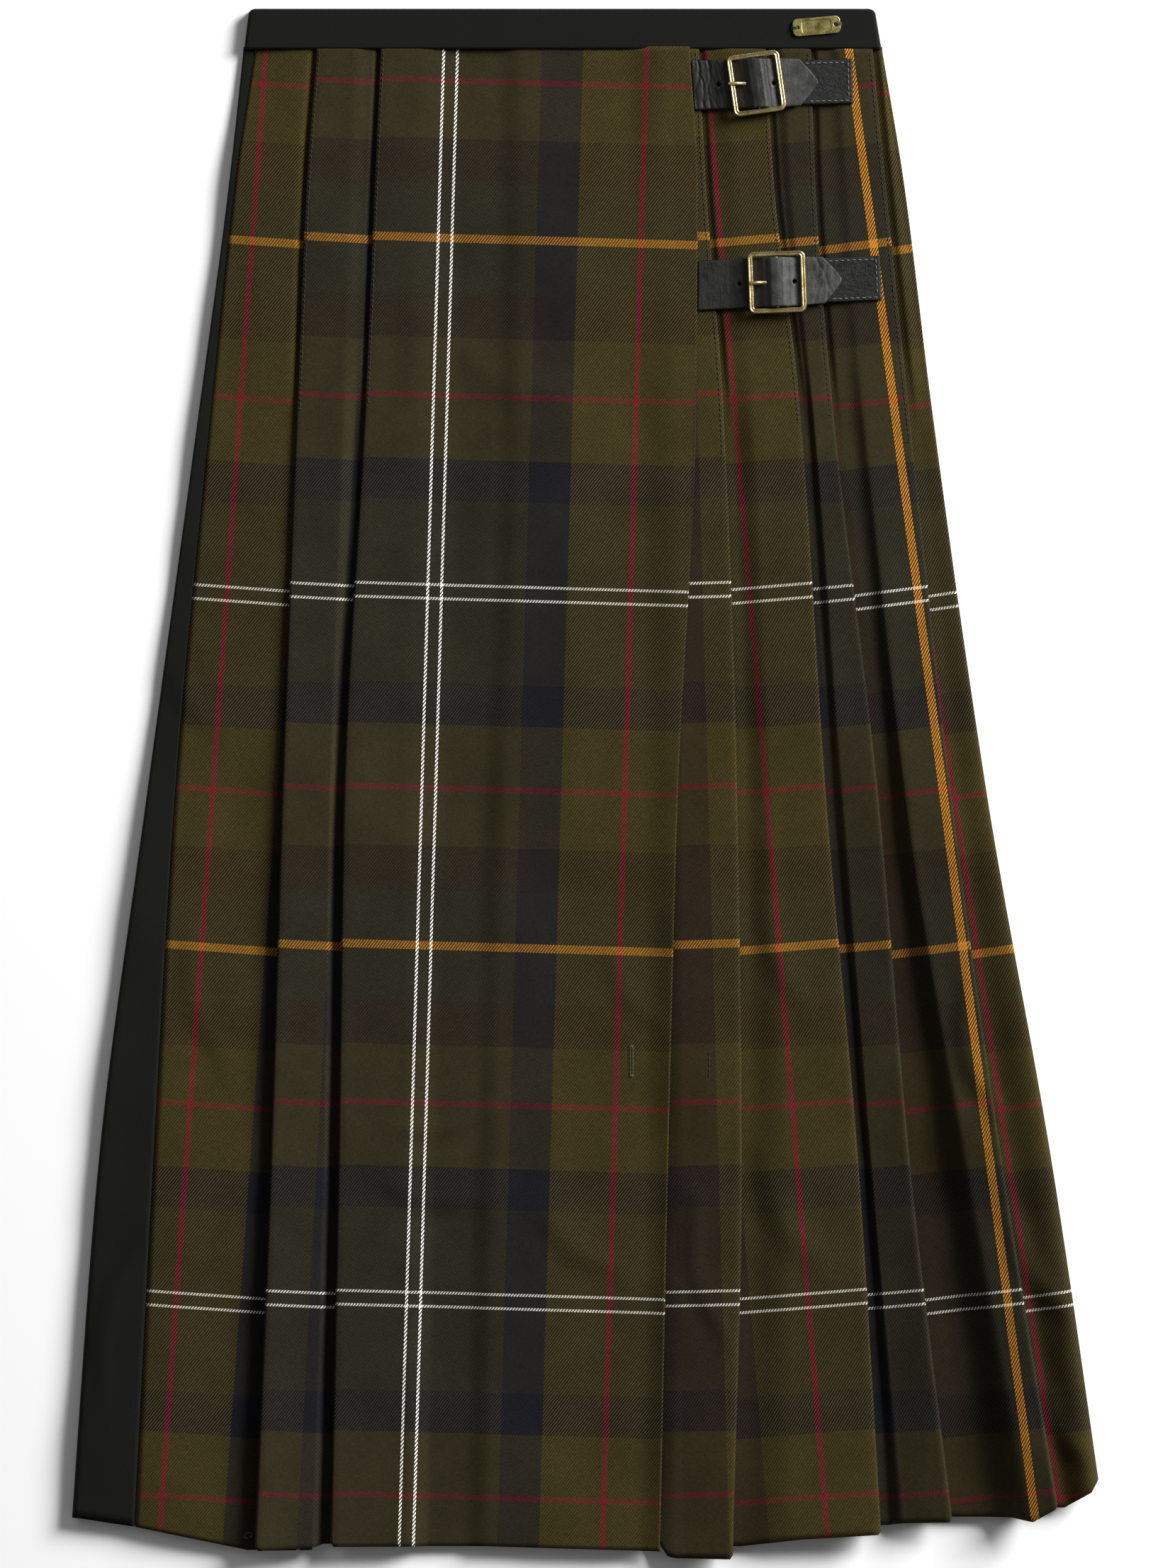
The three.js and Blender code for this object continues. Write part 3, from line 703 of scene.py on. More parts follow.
def black_twill_material():
    nodes = Nodes("black_twill")
    across, along = cloth_coordinates(nodes)
    over = twill(nodes, across, along, BLACK_TWILL)
    fleck = nodes.noise(nodes.combine(across, along), 1.4, 3.0, 0.7)
    # Painted shade and highlight of the twill's ribs: the tone is painted lighter where the warp is on top
    # and darker where the weft is, plus random flecks.
    tone = nodes.math("ADD", nodes.times(over, 0.35), fleck)
    colour = nodes.ramp(tone, [(0.3, srgb(7, 7, 6)), (0.95, srgb(24, 24, 22))], "LINEAR")
    nodes.set(Base_Color=colour, Roughness=0.85, Sheen_Weight=0.02, Sheen_Roughness=0.5)
    nodes.set(Specular_IOR_Level=0.12)
    height = nodes.math("ADD", over, nodes.times(fleck, 0.9))
    nodes.set(Normal=nodes.bump(height, 0.00018, 0.5))
    return nodes.material


# Painted sheen: the straps are painted paler from one x to the other, towards their tips.
SHEEN_PAINTED_FROM = 93.0
SHEEN_PAINTED_TO = 108.0


def leather_material(name, bright, streaks, grain_depth, painted_sheen_tip=None):
    """Black leather: fine pebble grain with soft wrinkles, and a painted sheen that makes it paler towards
    the strap's tip when a tip colour is given.
    """
    nodes = Nodes(name)
    place = nodes.add("ShaderNodeTexCoord").outputs["Object"]
    split = nodes.add("ShaderNodeSeparateXYZ", (place,))
    x, y, z = split.outputs
    shaken = nodes.noise(place, 500.0, 2.0, 0.5)
    shaken_x = nodes.math("MULTIPLY_ADD", shaken, 0.0012, x)
    shaken_y = nodes.math("MULTIPLY_ADD", shaken, -0.0010, y)
    given = {"Vector": nodes.combine(shaken_x, shaken_y, z), "Scale": 1100.0}
    cells = nodes.add("ShaderNodeTexVoronoi", given, feature="DISTANCE_TO_EDGE")
    grain = nodes.ranged(cells.outputs[0], 0.0, 0.22, 0.0, 1.0)
    stretched = nodes.combine(nodes.times(x, streaks[0]), nodes.times(y, streaks[1]))
    wrinkles = nodes.noise(stretched, 420.0, 4.0, 0.62)
    rubbed = nodes.noise(place, 130.0, 4.0, 0.6)
    dark = tuple(0.45 * v for v in bright[:3])
    tone = nodes.math("MULTIPLY_ADD", grain, 0.12, rubbed)
    colour = nodes.ramp(tone, [(0.38, dark), (0.8, bright)], "LINEAR")
    # Painted sheen: past the bar the strap's colour is painted paler, ramping up to the tip colour.
    if painted_sheen_tip is not None:
        towards_tip = nodes.ranged(x, SHEEN_PAINTED_FROM * MM, SHEEN_PAINTED_TO * MM, 0.0, 1.0)
        pale = nodes.ramp(tone, [(0.34, bright), (0.8, painted_sheen_tip)], "LINEAR")
        colour = nodes.blend(towards_tip, colour, pale)
    nodes.set(Base_Color=colour, Specular_IOR_Level=0.3)
    nodes.set(Roughness=nodes.ranged(nodes.math("ADD", wrinkles, rubbed), 0.7, 1.3, 0.42, 0.6))
    normal = nodes.bump(grain, grain_depth, 0.55)
    normal = nodes.bump(wrinkles, 0.00065, 0.6, normal)
    nodes.set(Normal=normal)
    return nodes.material


def metal_material(name, bright, dark, roughness):
    nodes = Nodes(name)
    place = nodes.add("ShaderNodeTexCoord").outputs["Object"]
    patches = nodes.noise(place, 160.0, 4.0, 0.65)
    scratches = nodes.noise(place, 1400.0, 3.0, 0.7)
    colour = nodes.ramp(patches, [(0.32, dark), (0.62, bright)], "LINEAR")
    nodes.set(Base_Color=colour, Metallic=1.0)
    nodes.set(Roughness=nodes.ranged(scratches, 0.3, 0.7, roughness - 0.07, roughness + 0.1))
    nodes.set(Normal=nodes.bump(scratches, 0.00003, 0.35))
    return nodes.material


def thread_material(name, colour):
    nodes = Nodes(name)
    place = nodes.add("ShaderNodeTexCoord").outputs["Object"]
    twist = nodes.noise(place, 2600.0, 2.0, 0.6)
    darker = tuple(0.55 * v for v in colour[:3])
    nodes.set(Base_Color=nodes.ramp(twist, [(0.3, darker), (0.7, colour)], "LINEAR"))
    nodes.set(Roughness=0.7, Sheen_Weight=0.2)
    nodes.set(Normal=nodes.bump(twist, 0.0001, 0.5))
    return nodes.material


TARTAN = tartan_material()
BLACK = black_twill_material()
LEATHER = leather_material("black_leather", srgb(25, 25, 24), (0.7, 1.0), 0.00012)
# The straps' leather carries a painted sheen towards the tip; the tabs' leather has none.
CREASED = leather_material("strap_leather_painted_sheen", srgb(30, 30, 29), (1.0, 0.35), 0.00006, srgb(70, 70, 68))
BRASS = metal_material("brass", srgb(250, 230, 172), srgb(206, 176, 112), 0.26)
OLD_BRASS = metal_material("antique_brass", srgb(190, 178, 116), srgb(118, 104, 56), 0.42)
DARK_THREAD = thread_material("dark_thread", srgb(30, 29, 26))
OLIVE_THREAD = thread_material("olive_thread", srgb(74, 68, 38))
GREY_THREAD = thread_material("grey_thread", srgb(104, 104, 101))


def rounded_shell(name, plan, centre, normal, half, radius, material):
    """A closed piece with rounded edges: a middle surface, thickened along its normals.

    plan holds flat (u, v) places and gives the distance to the edge; centre and normal are in space."""
    columns, rows, _ = plan.shape
    rim = np.zeros((columns, rows), bool)
    rim[[0, -1], :] = True
    rim[:, [0, -1]] = True
    border = plan[rim]
    distance = np.min(np.linalg.norm(plan[:, :, None, :] - border[None, None], axis=3), axis=2)
    share = np.clip(distance / radius, 0.0, 1.0)
    lift = (half * np.sqrt(1.0 - (1.0 - share) ** 2))[..., None] * normal
    top = (centre + lift).reshape(-1, 3)
    bottom = (centre - lift).reshape(-1, 3)
    index = np.arange(columns * rows)
    below = np.where(rim.ravel(), index, index + columns * rows)
    faces = grid_faces(columns, rows)
    both = faces[:, ::-1].tolist() + below[faces].tolist()
    made = new_object(name, np.concatenate([top, bottom]), both, material)
    clean(made)
    return made


def clean(made):
    """Removes points that no face uses and turns the faces outward."""
    work = bmesh.new()
    work.from_mesh(made.data)
    bmesh.ops.delete(work, geom=[v for v in work.verts if not v.link_faces], context="VERTS")
    bmesh.ops.recalc_face_normals(work, faces=work.faces)
    work.to_mesh(made.data)
    work.free()


def planar_uv(made):
    """The map 'cloth' as seen from above, in metres."""
    corners = np.empty(len(made.data.loops), int)
    made.data.loops.foreach_get("vertex_index", corners)
    layer = made.data.uv_layers.new(name="cloth")
    layer.data.foreach_set("uv", vertex_places(made)[corners][:, :2].ravel())


def panels():
    made = {}
    for name, section, material in (
        ("right_panel", right_section, TARTAN),
        ("front_apron", apron_section, TARTAN),
        ("back_panel", back_section, BLACK),
    ):
        grid, uv = panel_grid(section, ROWS[name])
        made[name] = grid_object(f"cloth_{name}", grid, uv, material)
    return made


BAND = {"left": (-186.2, -183.5), "right": (159.8, 156.1), "bottom": 398.3, "corner": 3.2, "edge": 1.6}
BAND_GRID = {"columns": 360, "rows": 40}
BAND_LAYERS = {"waistband_back": (0.0, 2.2), "waistband_front": (2.5, 6.0)}


def waistband(name):
    low, high = BAND_LAYERS[name]
    rows = np.linspace(0.0, 1.0, BAND_GRID["rows"])
    y = mix(BAND["bottom"], WAIST_TOP_Y, rows)
    inset = np.clip(y - (WAIST_TOP_Y - BAND["corner"]), 0.0, None)
    round_off = BAND["corner"] - np.sqrt(np.clip(BAND["corner"] ** 2 - inset**2, 0.0, None))
    left = mix(BAND["left"][0], BAND["left"][1], rows) + round_off
    right = mix(BAND["right"][0], BAND["right"][1], rows) - round_off
    share = np.linspace(0.0, 1.0, BAND_GRID["columns"])[:, None]
    plan = np.stack([mix(left, right, share), y + 0 * share], axis=2)
    middle = (low + high) / 2
    x = plan[..., 0]
    uneven = 0.05 * np.sin(x / 17.0) + 0.04 * np.sin(x / 7.3 + 1.0) * (name == "waistband_front")
    centre = np.concatenate([plan, (middle + uneven)[..., None]], axis=2)
    normal = np.zeros_like(centre)
    normal[..., 2] = 1.0
    made = rounded_shell(f"cloth_{name}", plan, centre, normal, (high - low) / 2, BAND["edge"], BLACK)
    planar_uv(made)
    return made


LEATHER_THICKNESS = 1.4
REST_Z = 5.75
BAR_RADIUS = 0.8
BAR_Z = 9.0
FRAME_Z = 10.4
WIRE = 2.5
FITTINGS = {
    "upper": {
        "centre": (91.8, 379.6),
        "slope": 1.4,
        "lean": 8.0,
        "tip": 33.5,
        "tab_end": 52.3,
        "frame": (28.5, 33.0),
    },
    "lower": {
        "centre": (103.0, 271.8),
        "slope": 2.4,
        "lean": 2.0,
        "tip": 35.2,
        "tab_end": 56.4,
        "frame": (31.0, 33.3),
    },
}
STRAP = {
    "root_width": 27.2,
    "width": 26.9,
    "tip_width": 25.6,
    "point": 10.0,
    "tab_width": 24.4,
    "holes": (-20.5, 9.5),
    "root_reach": 18.0,
    "tip_from": 10.0,
    "tip_over": 14.0,
}
HOLE_RADIUS = 1.2
LEATHER_EDGE = 0.6
# The strap's middle height at places along it: under the frame, over the bar, and under the frame.
STRAP_PROFILE = np.array([
    (-60, 6.45), (-26, 6.45), (-16, 7.9), (-10.4, 8.1), (-6.4, 10.4), (-2.5, 12.55),
    (0, 12.75), (3, 12.45), (6.6, 9.9), (10.4, 8.6), (34, 7.95), (60, 7.9),
])
STRAP_TIP_FLAT = 10.4


def strap_height(x):
    marks, heights = STRAP_PROFILE[:, 0], STRAP_PROFILE[:, 1]
    k = np.clip(np.searchsorted(marks, x, side="right") - 1, 0, len(marks) - 2)
    share = (x - marks[k]) / (marks[k + 1] - marks[k])
    share = np.where(x > STRAP_TIP_FLAT, share, ease(share))
    return mix(heights[k], heights[k + 1], share)


def fitting_place(fitting, points):
    """Points in a fitting's own frame, in the skirt's frame."""
    return turned(points, fitting["slope"]) + np.array([*fitting["centre"], 0.0])


def strap_root(fitting, y):
    slope = math.tan(math.radians(fitting["slope"]))
    edge = read(OUTLINE["apron_edge"], fitting["centre"][1] + y) + SEAM_GAP - fitting["centre"][0]
    return (edge + slope * y) / math.cos(math.radians(fitting["slope"]))


def edge_spacing(count):
    """Rows from -1 to 1, closer together by the edges."""
    even = np.linspace(-1.0, 1.0, count)
    return np.sin(even * math.pi / 2) * 0.45 + even * 0.55


def strap(name):
    fitting = FITTINGS[name]
    lean = math.tan(math.radians(fitting["lean"] - fitting["slope"]))
    tip = fitting["tip"]
    rows = edge_spacing(33)[None, :]
    share = np.linspace(0.0, 1.0, 190)[:, None]
    start = strap_root(fitting, rows * STRAP["root_width"] / 2)
    x = mix(start, tip, share)
    width = mix(STRAP["root_width"], STRAP["width"], ease((x - start) / STRAP["root_reach"]))
    width = mix(width, STRAP["tip_width"], ease((x - STRAP["tip_from"]) / STRAP["tip_over"]))
    left = np.clip((tip - x) / STRAP["point"], 0.0, 1.0)
    narrow = np.where(left < 1.0, 0.03 + 0.97 * left**0.86, 1.0)
    y = rows * width / 2 * narrow
    plan = np.stack([x, y], axis=2)
    along = x + lean * y
    z = strap_height(along) + strap_relief(name, x, y)
    slope = (strap_height(along + 0.05) - strap_height(along - 0.05)) / 0.1
    normal = np.stack([-slope, -slope * lean, np.ones_like(slope)], axis=2)
    normal /= np.linalg.norm(normal, axis=2, keepdims=True)
    centre = np.stack([x, y, z], axis=2)
    shell_centre = fitting_place(fitting, centre)
    made = rounded_shell(
        f"leather_strap_{name}", plan, shell_centre, normal, LEATHER_THICKNESS / 2, LEATHER_EDGE, CREASED
    )
    cutters = [punch(fitting, hole) for hole in STRAP["holes"]] + [prong(name, 0.35)]
    cut(made, cutters)
    return made


# Creases across each strap: where, how far they slant, and how deep.
UPPER_CREASES = [
    (-34.2, 0.06, 0.16),
    (-32.0, 0.10, 0.24),
    (-29.6, -0.12, 0.28),
    (-27.4, 0.16, 0.18),
    (-25.6, 0.02, 0.26),
    (-23.2, -0.20, 0.20),
    (-19.0, -0.14, 0.16),
    (-16.6, 0.10, 0.12),
]
LOWER_CREASES = [
    (21.5, 0.20, 0.12),
    (24.2, 0.42, 0.20),
    (27.0, -0.40, 0.22),
    (29.2, 0.30, 0.14),
    (31.0, -0.15, 0.10),
]


def strap_relief(name, x, y):
    """Wear on a strap: the creases where it bends, and the dish about each hole."""
    lift = np.zeros_like(x)
    for hole in STRAP["holes"]:
        away = np.hypot(x - hole, y)
        lift += 0.16 * np.exp(-(((away - 2.3) / 0.7) ** 2)) - 0.2 * np.exp(-((away / 1.5) ** 2))
    if name == "upper":
        for at, turn, depth in UPPER_CREASES:
            off = x - at - turn * y - 0.7 * np.sin(y / 2.9 + at) - 0.3 * np.sin(y / 1.2)
            lift -= depth * np.exp(-((off / 0.6) ** 2)) - 0.4 * depth * np.exp(-(((off - 1.3) / 0.7) ** 2))
    else:
        for at, turn, depth in LOWER_CREASES:
            off = x - at - turn * y - 0.6 * np.sin(y / 2.2)
            lift -= depth * np.exp(-((off / 0.8) ** 2))
    return np.clip(lift, -0.34, 0.16)


def punch(fitting, x):
    """A round cutter through the whole height of a fitting."""
    sides = 24
    ends = [(*place, z) for z in (3.0, 16.0) for place in circle(HOLE_RADIUS, sides, x)]
    faces = tube_faces(0, 2, sides)
    return new_object("punch", fitting_place(fitting, ends), faces, LEATHER, smooth=False)


def cut(made, cutters):
    """Takes the cutters out of an object's mesh, and removes them."""
    for cutter in cutters:
        trim = made.modifiers.new("cut", "BOOLEAN")
        trim.operation = "DIFFERENCE"
        trim.solver = "EXACT"
        trim.object = cutter
    data = evaluated_mesh(made)
    made.modifiers.clear()
    made.data = data
    for cutter in cutters:
        bpy.data.objects.remove(cutter)


def tab(name):
    fitting = FITTINGS[name]
    lean = math.tan(math.radians(fitting["lean"] - fitting["slope"]))
    radius = BAR_RADIUS + SEAM_GAP + LEATHER_THICKNESS / 2
    flat_z = REST_Z + LEATHER_THICKNESS / 2
    line = [(mix(fitting["tab_end"], 8.0, k / 90), flat_z) for k in range(91)]
    line += [(mix(8.0, 2.5, k / 10), mix(flat_z, BAR_Z - radius, float(ease(k / 10)))) for k in range(1, 11)]
    for angle in np.radians(np.linspace(270, 75, 22))[1:]:
        line.append((radius * math.cos(angle), BAR_Z + radius * math.sin(angle)))
    line = np.array(line)
    steps = np.gradient(line, axis=0)
    length = distances(line)
    side = np.stack([steps[:, 1], -steps[:, 0]], axis=1)
    side /= np.linalg.norm(side, axis=1, keepdims=True)
    rows = edge_spacing(29)
    y = rows[None, :] * STRAP["tab_width"] / 2 + 0 * length[:, None]
    follow = 1.0 - ease((line[:, 0] - 4.0) / 16.0)
    x = line[:, 0][:, None] - lean * y * follow[:, None]
    plan = np.stack([length[:, None] + 0 * y, y], axis=2)
    centre = np.stack([x, y, line[:, 1][:, None] + 0 * y], axis=2)
    normal = np.stack([side[:, 0][:, None] + 0 * y, 0 * y, side[:, 1][:, None] + 0 * y], axis=2)
    shell_centre = fitting_place(fitting, centre)
    made = rounded_shell(
        f"leather_tab_{name}", plan, shell_centre, normal, LEATHER_THICKNESS / 2, LEATHER_EDGE, LEATHER
    )
    slot = box_object("slot", fitting, (-5.5, 3.5), (-1.7, 1.7), (4.5, 13.5))
    cut(made, [slot])
    return made


def box_object(name, fitting, xs, ys, zs):
    corners = [(x, y, z) for z in zs for y in ys for x in xs]
    faces = [[0, 2, 3, 1], [4, 5, 7, 6], [0, 1, 5, 4], [2, 6, 7, 3], [0, 4, 6, 2], [1, 3, 7, 5]]
    return new_object(name, fitting_place(fitting, corners), faces, LEATHER, smooth=False)


def rounded_loop(width, height, radius, z, arc=12, straight=14):
    """The middle line of a rounded rectangle, anticlockwise."""
    points = []
    x, y = width / 2 - radius, height / 2 - radius
    for cx, cy, start in ((x, y, 0), (-x, y, 90), (-x, -y, 180), (x, -y, 270)):
        for step in range(arc + 1):
            angle = math.radians(start + 90 * step / arc)
            points.append((cx + radius * math.cos(angle), cy + radius * math.sin(angle), z))
        last = points[-1]
        long_side = start in (0, 180)
        after = (-cx, last[1], z) if long_side else (last[0], -cy, z)
        for step in range(1, straight):
            points.append(tuple(mix(a, b, step / straight) for a, b in zip(last, after)))
    return points


def buckle(name):
    fitting = FITTINGS[name]
    width, height = fitting["frame"]
    half = (height - WIRE) / 2
    loop = rounded_loop(width - WIRE, height - WIRE, 2.2, FRAME_Z)
    bar_line = [(0.0, mix(-half, half, k / 12), BAR_Z + 0.9 * abs(k / 6 - 1) ** 6) for k in range(13)]
    lean = fitting["lean"] - fitting["slope"]
    loop, bar_line = (fitting_place(fitting, turned(line, lean)) for line in (loop, bar_line))
    wire = closed_tube("wire", loop, 1.4, WIRE / 2, 36, BRASS, squareness=0.8, groove=0.5)
    bar = closed_tube("bar", bar_line, BAR_RADIUS, BAR_RADIUS, 14, BRASS, closed=False)
    return join(f"metal_buckle_{name}", [wire, bar])


def join(name, parts):
    """Joins objects without modifiers into one new object under one name, and removes them."""
    work = bmesh.new()
    materials = []
    for part in parts:
        before = len(work.faces)
        work.from_mesh(part.data)
        work.faces.ensure_lookup_table()
        material = part.data.materials[0]
        if material not in materials:
            materials.append(material)
        for face in work.faces[before:]:
            face.material_index = materials.index(material)
    data = bpy.data.meshes.new(name)
    work.to_mesh(data)
    work.free()
    for material in materials:
        data.materials.append(material)
    for part in parts:
        bpy.data.objects.remove(part)
    return linked(name, data)


def smooth_path(points, count):
    """A smooth line through the points, evenly divided."""
    points = np.asarray(points, float)
    marks = distances(points)
    fine = np.linspace(0.0, marks[-1], count)
    slopes = np.gradient(points, marks, axis=0)
    k = np.clip(np.searchsorted(marks, fine, side="right") - 1, 0, len(points) - 2)
    span = (marks[k + 1] - marks[k])[:, None]
    t = ((fine - marks[k])[:, None]) / span
    a, b = points[k], points[k + 1]
    start = slopes[k] * span
    end = slopes[k + 1] * span
    bend = (t**3 - 2 * t**2 + t) * start + (t**3 - t**2) * end
    return mix(a, b, t * t * (3.0 - 2.0 * t)) + bend


PRONG_PATH = [(-3.4, 10.6), (-7.5, 11.2), (-11.6, 12.4), (-15.4, 12.7)]


def prong(name, extra=0.0):
    """The prong over the bar and along the strap; extra makes the hole that it comes through."""
    fitting = FITTINGS[name]
    radius = BAR_RADIUS + SEAM_GAP + 0.7
    path = []
    for degrees in (-50, -20, 15, 50, 95):
        angle = math.radians(degrees)
        path.append((radius * math.cos(angle), 0.0, BAR_Z + radius * math.sin(angle)))
    path += [(x, 0.0, z) for x, z in PRONG_PATH]
    line = smooth_path(path, 48)
    along = np.linspace(0.0, 1.0, 48)
    end = np.sqrt(np.clip(1.0 - np.clip((along - 0.955) / 0.045, 0, 1) ** 2, 0.12, 1.0))
    taper = mix(1.0, 0.86, along) * end
    place = fitting_place(fitting, line)
    return closed_tube(
        f"metal_prong_{name}", place, (1.1 + extra) * taper, (0.7 + extra) * taper, 16, BRASS, closed=False
    )


PLATE = {
    "centre": (124.5, 410.8),
    "size": (25.8, 9.5),
    "thickness": 1.2,
    "bevel": 0.28,
    "sunk": 0.35,
    "hole": 1.2,
    "hole_inset": 2.6,
    "turn": 5.0,
    "rest": 6.3,
}


def flat_shape(name, outlines, thickness, bevel, material):
    """A flat plate with bevelled edges from closed outlines in millimetres; inner ones are holes."""
    curve = bpy.data.curves.new(name, "CURVE")
    curve.dimensions = "2D"
    curve.fill_mode = "BOTH"
    curve.extrude = (thickness / 2 - bevel) * MM
    curve.bevel_depth = bevel * MM
    curve.bevel_resolution = 3
    for outline in outlines:
        spline = curve.splines.new("POLY")
        spline.points.add(len(outline) - 1)
        for point, (x, y) in zip(spline.points, outline):
            point.co = (x * MM, y * MM, 0.0, 1.0)
        spline.use_cyclic_u = True
    shape = linked(name, curve)
    data = evaluated_mesh(shape)
    bpy.data.objects.remove(shape)
    data.materials.clear()
    data.materials.append(material)
    return linked(name, data)


def waist_plate():
    width, height = PLATE["size"]
    bevel = PLATE["bevel"]
    outline = [p[:2] for p in rounded_loop(width - 2 * bevel, height - 2 * bevel, 2.4, 0.0, 8, 3)]
    holes = []
    for side in (-1, 1):
        holes.append(circle(PLATE["hole"], 28, side * (width / 2 - PLATE["hole_inset"])))
    field = [p[:2] for p in rounded_loop(width - 10 + 2 * bevel, height - 3 + 2 * bevel, 1.5, 0.0, 8, 3)]
    layers = []
    for outlines, sunk in (([outline, field, *holes], 0.0), ([outline, *holes], PLATE["sunk"])):
        thickness = PLATE["thickness"] - sunk
        layer = flat_shape("plate_layer", outlines, thickness, bevel, OLD_BRASS)
        set_places(layer, vertex_places(layer) + [0.0, 0.0, thickness / 2 * MM])
        layers.append(layer)
    plate = join("metal_waist_plate", layers)
    at = (np.array([*PLATE["centre"], PLATE["rest"]]) + CENTRING) * MM
    set_places(plate, turned(vertex_places(plate), PLATE["turn"]) + at)
    return plate


SEAM_INSET = 1.3
# Folds that are edge-stitched down from the waist, and where their stitching ends.
STITCHED_FOLDS = [
    (LEFT_FOLDS["apron"], -1, 207.0),
    (LEFT_FOLDS["strip"], -1, 203.0),
    (RIGHT_FOLDS["first"], 1, 179.0),
    (RIGHT_FOLDS["second"], 1, 196.0),
    (RIGHT_FOLDS["third"], 1, 200.0),
    (RIGHT_FOLDS["ridge"], 1, 185.0),
]


def seam_groove(x, y):
    """How far the edge stitching pulls the cloth down."""
    pull = np.zeros_like(x)
    for fold, side, lowest in STITCHED_FOLDS:
        off = x - (read(fold["edge"], y) - side * SEAM_INSET)
        pull += 0.28 * np.exp(-((off / 0.8) ** 2)) * ease((y - lowest + 6.0) / 12.0)
    return pull


def surface_of(pieces):
    """A function that gives the height in millimetres of the topmost cloth or leather at (x, y)."""
    graph = bpy.context.evaluated_depsgraph_get()
    trees = [BVHTree.FromObject(piece, graph) for piece in pieces]

    def height(x, y):
        place = (np.array([x, y, 0.0]) + CENTRING) * MM
        start = Vector((place[0], place[1], 0.1))
        hits = [tree.ray_cast(start, Vector((0.0, 0.0, -1.0)))[0] for tree in trees]
        return max((hit.z / MM for hit in hits if hit is not None), default=0.0)

    return height


def stitches(name, ends, width, material, bow=0.5):
    """Short threads between pairs of (x, y, z) points in millimetres, rounded and bowed up."""
    sides, rings = 8, 7
    vertices, faces = [], []
    around = np.arange(sides) * math.tau / sides
    for start, end in ends:
        start, end = np.asarray(start, float), np.asarray(end, float)
        along = end - start
        length = np.linalg.norm(along)
        along = along / length
        side = np.cross(along, [0.0, 0.0, 1.0])
        side = side / np.linalg.norm(side)
        up = np.cross(side, along)
        first = len(vertices)
        for ring in range(rings):
            t = ring / (rings - 1)
            size = width / 2 * math.sqrt(max(0.06, 1.0 - (2.0 * t - 1.0) ** 2 * 0.94))
            middle = start + along * length * t + up * (bow * width * math.sin(math.pi * t))
            for angle in around:
                vertices.append(middle + side * size * math.cos(angle) + up * size * math.sin(angle))
        faces += tube_faces(first, rings, sides)
    return new_object(name, vertices, faces, material)


def stitched_line(height, points, length, gap, lift):
    """Pairs of stitch ends along a line of (x, y) points, on the surface below it."""
    points = np.asarray(points, float)
    marks = distances(points)
    ends = []
    at = 0.0
    while at + length <= marks[-1]:
        pair = []
        for reach in (at, at + length):
            x = np.interp(reach, marks, points[:, 0])
            y = np.interp(reach, marks, points[:, 1])
            pair.append((x, y, height(x, y) + lift))
        ends.append(pair)
        at += length + gap
    return ends


def fold_stitching(height):
    ends = []
    for fold, side, lowest in STITCHED_FOLDS:
        y = np.linspace(WAIST_SEAM_Y - 1.5, lowest, 60)
        line = np.stack([read(fold["edge"], y) - side * SEAM_INSET, y], axis=1)
        ends += stitched_line(height, line, 2.0, 0.8, 0.05)
        ends.append(tack(height, line[-1]))
    return stitches("stitches_folds", ends, 0.42, DARK_THREAD)


def tack(height, place):
    """A short stitch across the end of a seam."""
    x, y = place
    return [(x - 1.1, y, height(x - 1.1, y) + 0.1), (x + 1.1, y, height(x + 1.1, y) + 0.1)]


BUTTONHOLE = {"x": 24.0, "top": -143.0, "bottom": -158.0, "width": 2.6}


def buttonhole(height):
    """A small buttonhole worked in olive thread near the apron's edge."""
    half = BUTTONHOLE["width"] / 2
    ends = []
    for x, turn in ((BUTTONHOLE["x"] - half / 2, -1), (BUTTONHOLE["x"] + half / 2, 1)):
        for y in np.arange(BUTTONHOLE["bottom"], BUTTONHOLE["top"], 0.75):
            a, b = (x - turn * 0.45, y), (x + turn * 0.5, y + 0.15)
            ends.append([(*a, height(*a) + 0.08), (*b, height(*b) + 0.05)])
    for y in (BUTTONHOLE["bottom"] - 0.5, BUTTONHOLE["top"] + 0.3):
        for step in range(3):
            a = (BUTTONHOLE["x"] - half, y + 0.4 * step - 0.4)
            b = (BUTTONHOLE["x"] + half, y + 0.4 * step - 0.4)
            ends.append([(*a, height(*a) + 0.1), (*b, height(*b) + 0.1)])
    return stitches("stitches_buttonhole", ends, 0.5, OLIVE_THREAD)


SLIT = {"x": 66.2, "top": -145.5, "bottom": -162.0}


def closed_slit(height):
    """The line of dark stitches on the pleat beside the buttonhole."""
    y = np.linspace(SLIT["top"], SLIT["bottom"], 12)
    line = np.stack([np.full_like(y, SLIT["x"]), y], axis=1)
    return stitches("stitches_slit", stitched_line(height, line, 2.2, 0.7, 0.04), 0.4, DARK_THREAD)


THREAD_LOOP = {"centre": (-184.0, -408.0), "reach": (2.1, 1.5), "radius": 0.17}


def thread_end(height):
    """A loose loop of thread near the hem of the side pleat."""
    loop = []
    (middle_x, middle_y), (reach_x, reach_y) = THREAD_LOOP["centre"], THREAD_LOOP["reach"]
    radius = THREAD_LOOP["radius"]
    for angle in np.linspace(-0.9, 4.6, 26):
        x = middle_x + reach_x * math.cos(angle) * (1.0 + 0.25 * math.sin(2 * angle))
        y = middle_y + reach_y * math.sin(angle)
        loop.append((x, y, height(x, y) + 0.25 + 0.15 * math.sin(2 * angle)))
    return closed_tube("thread_loop", loop, radius, radius, 6, GREY_THREAD, closed=False)


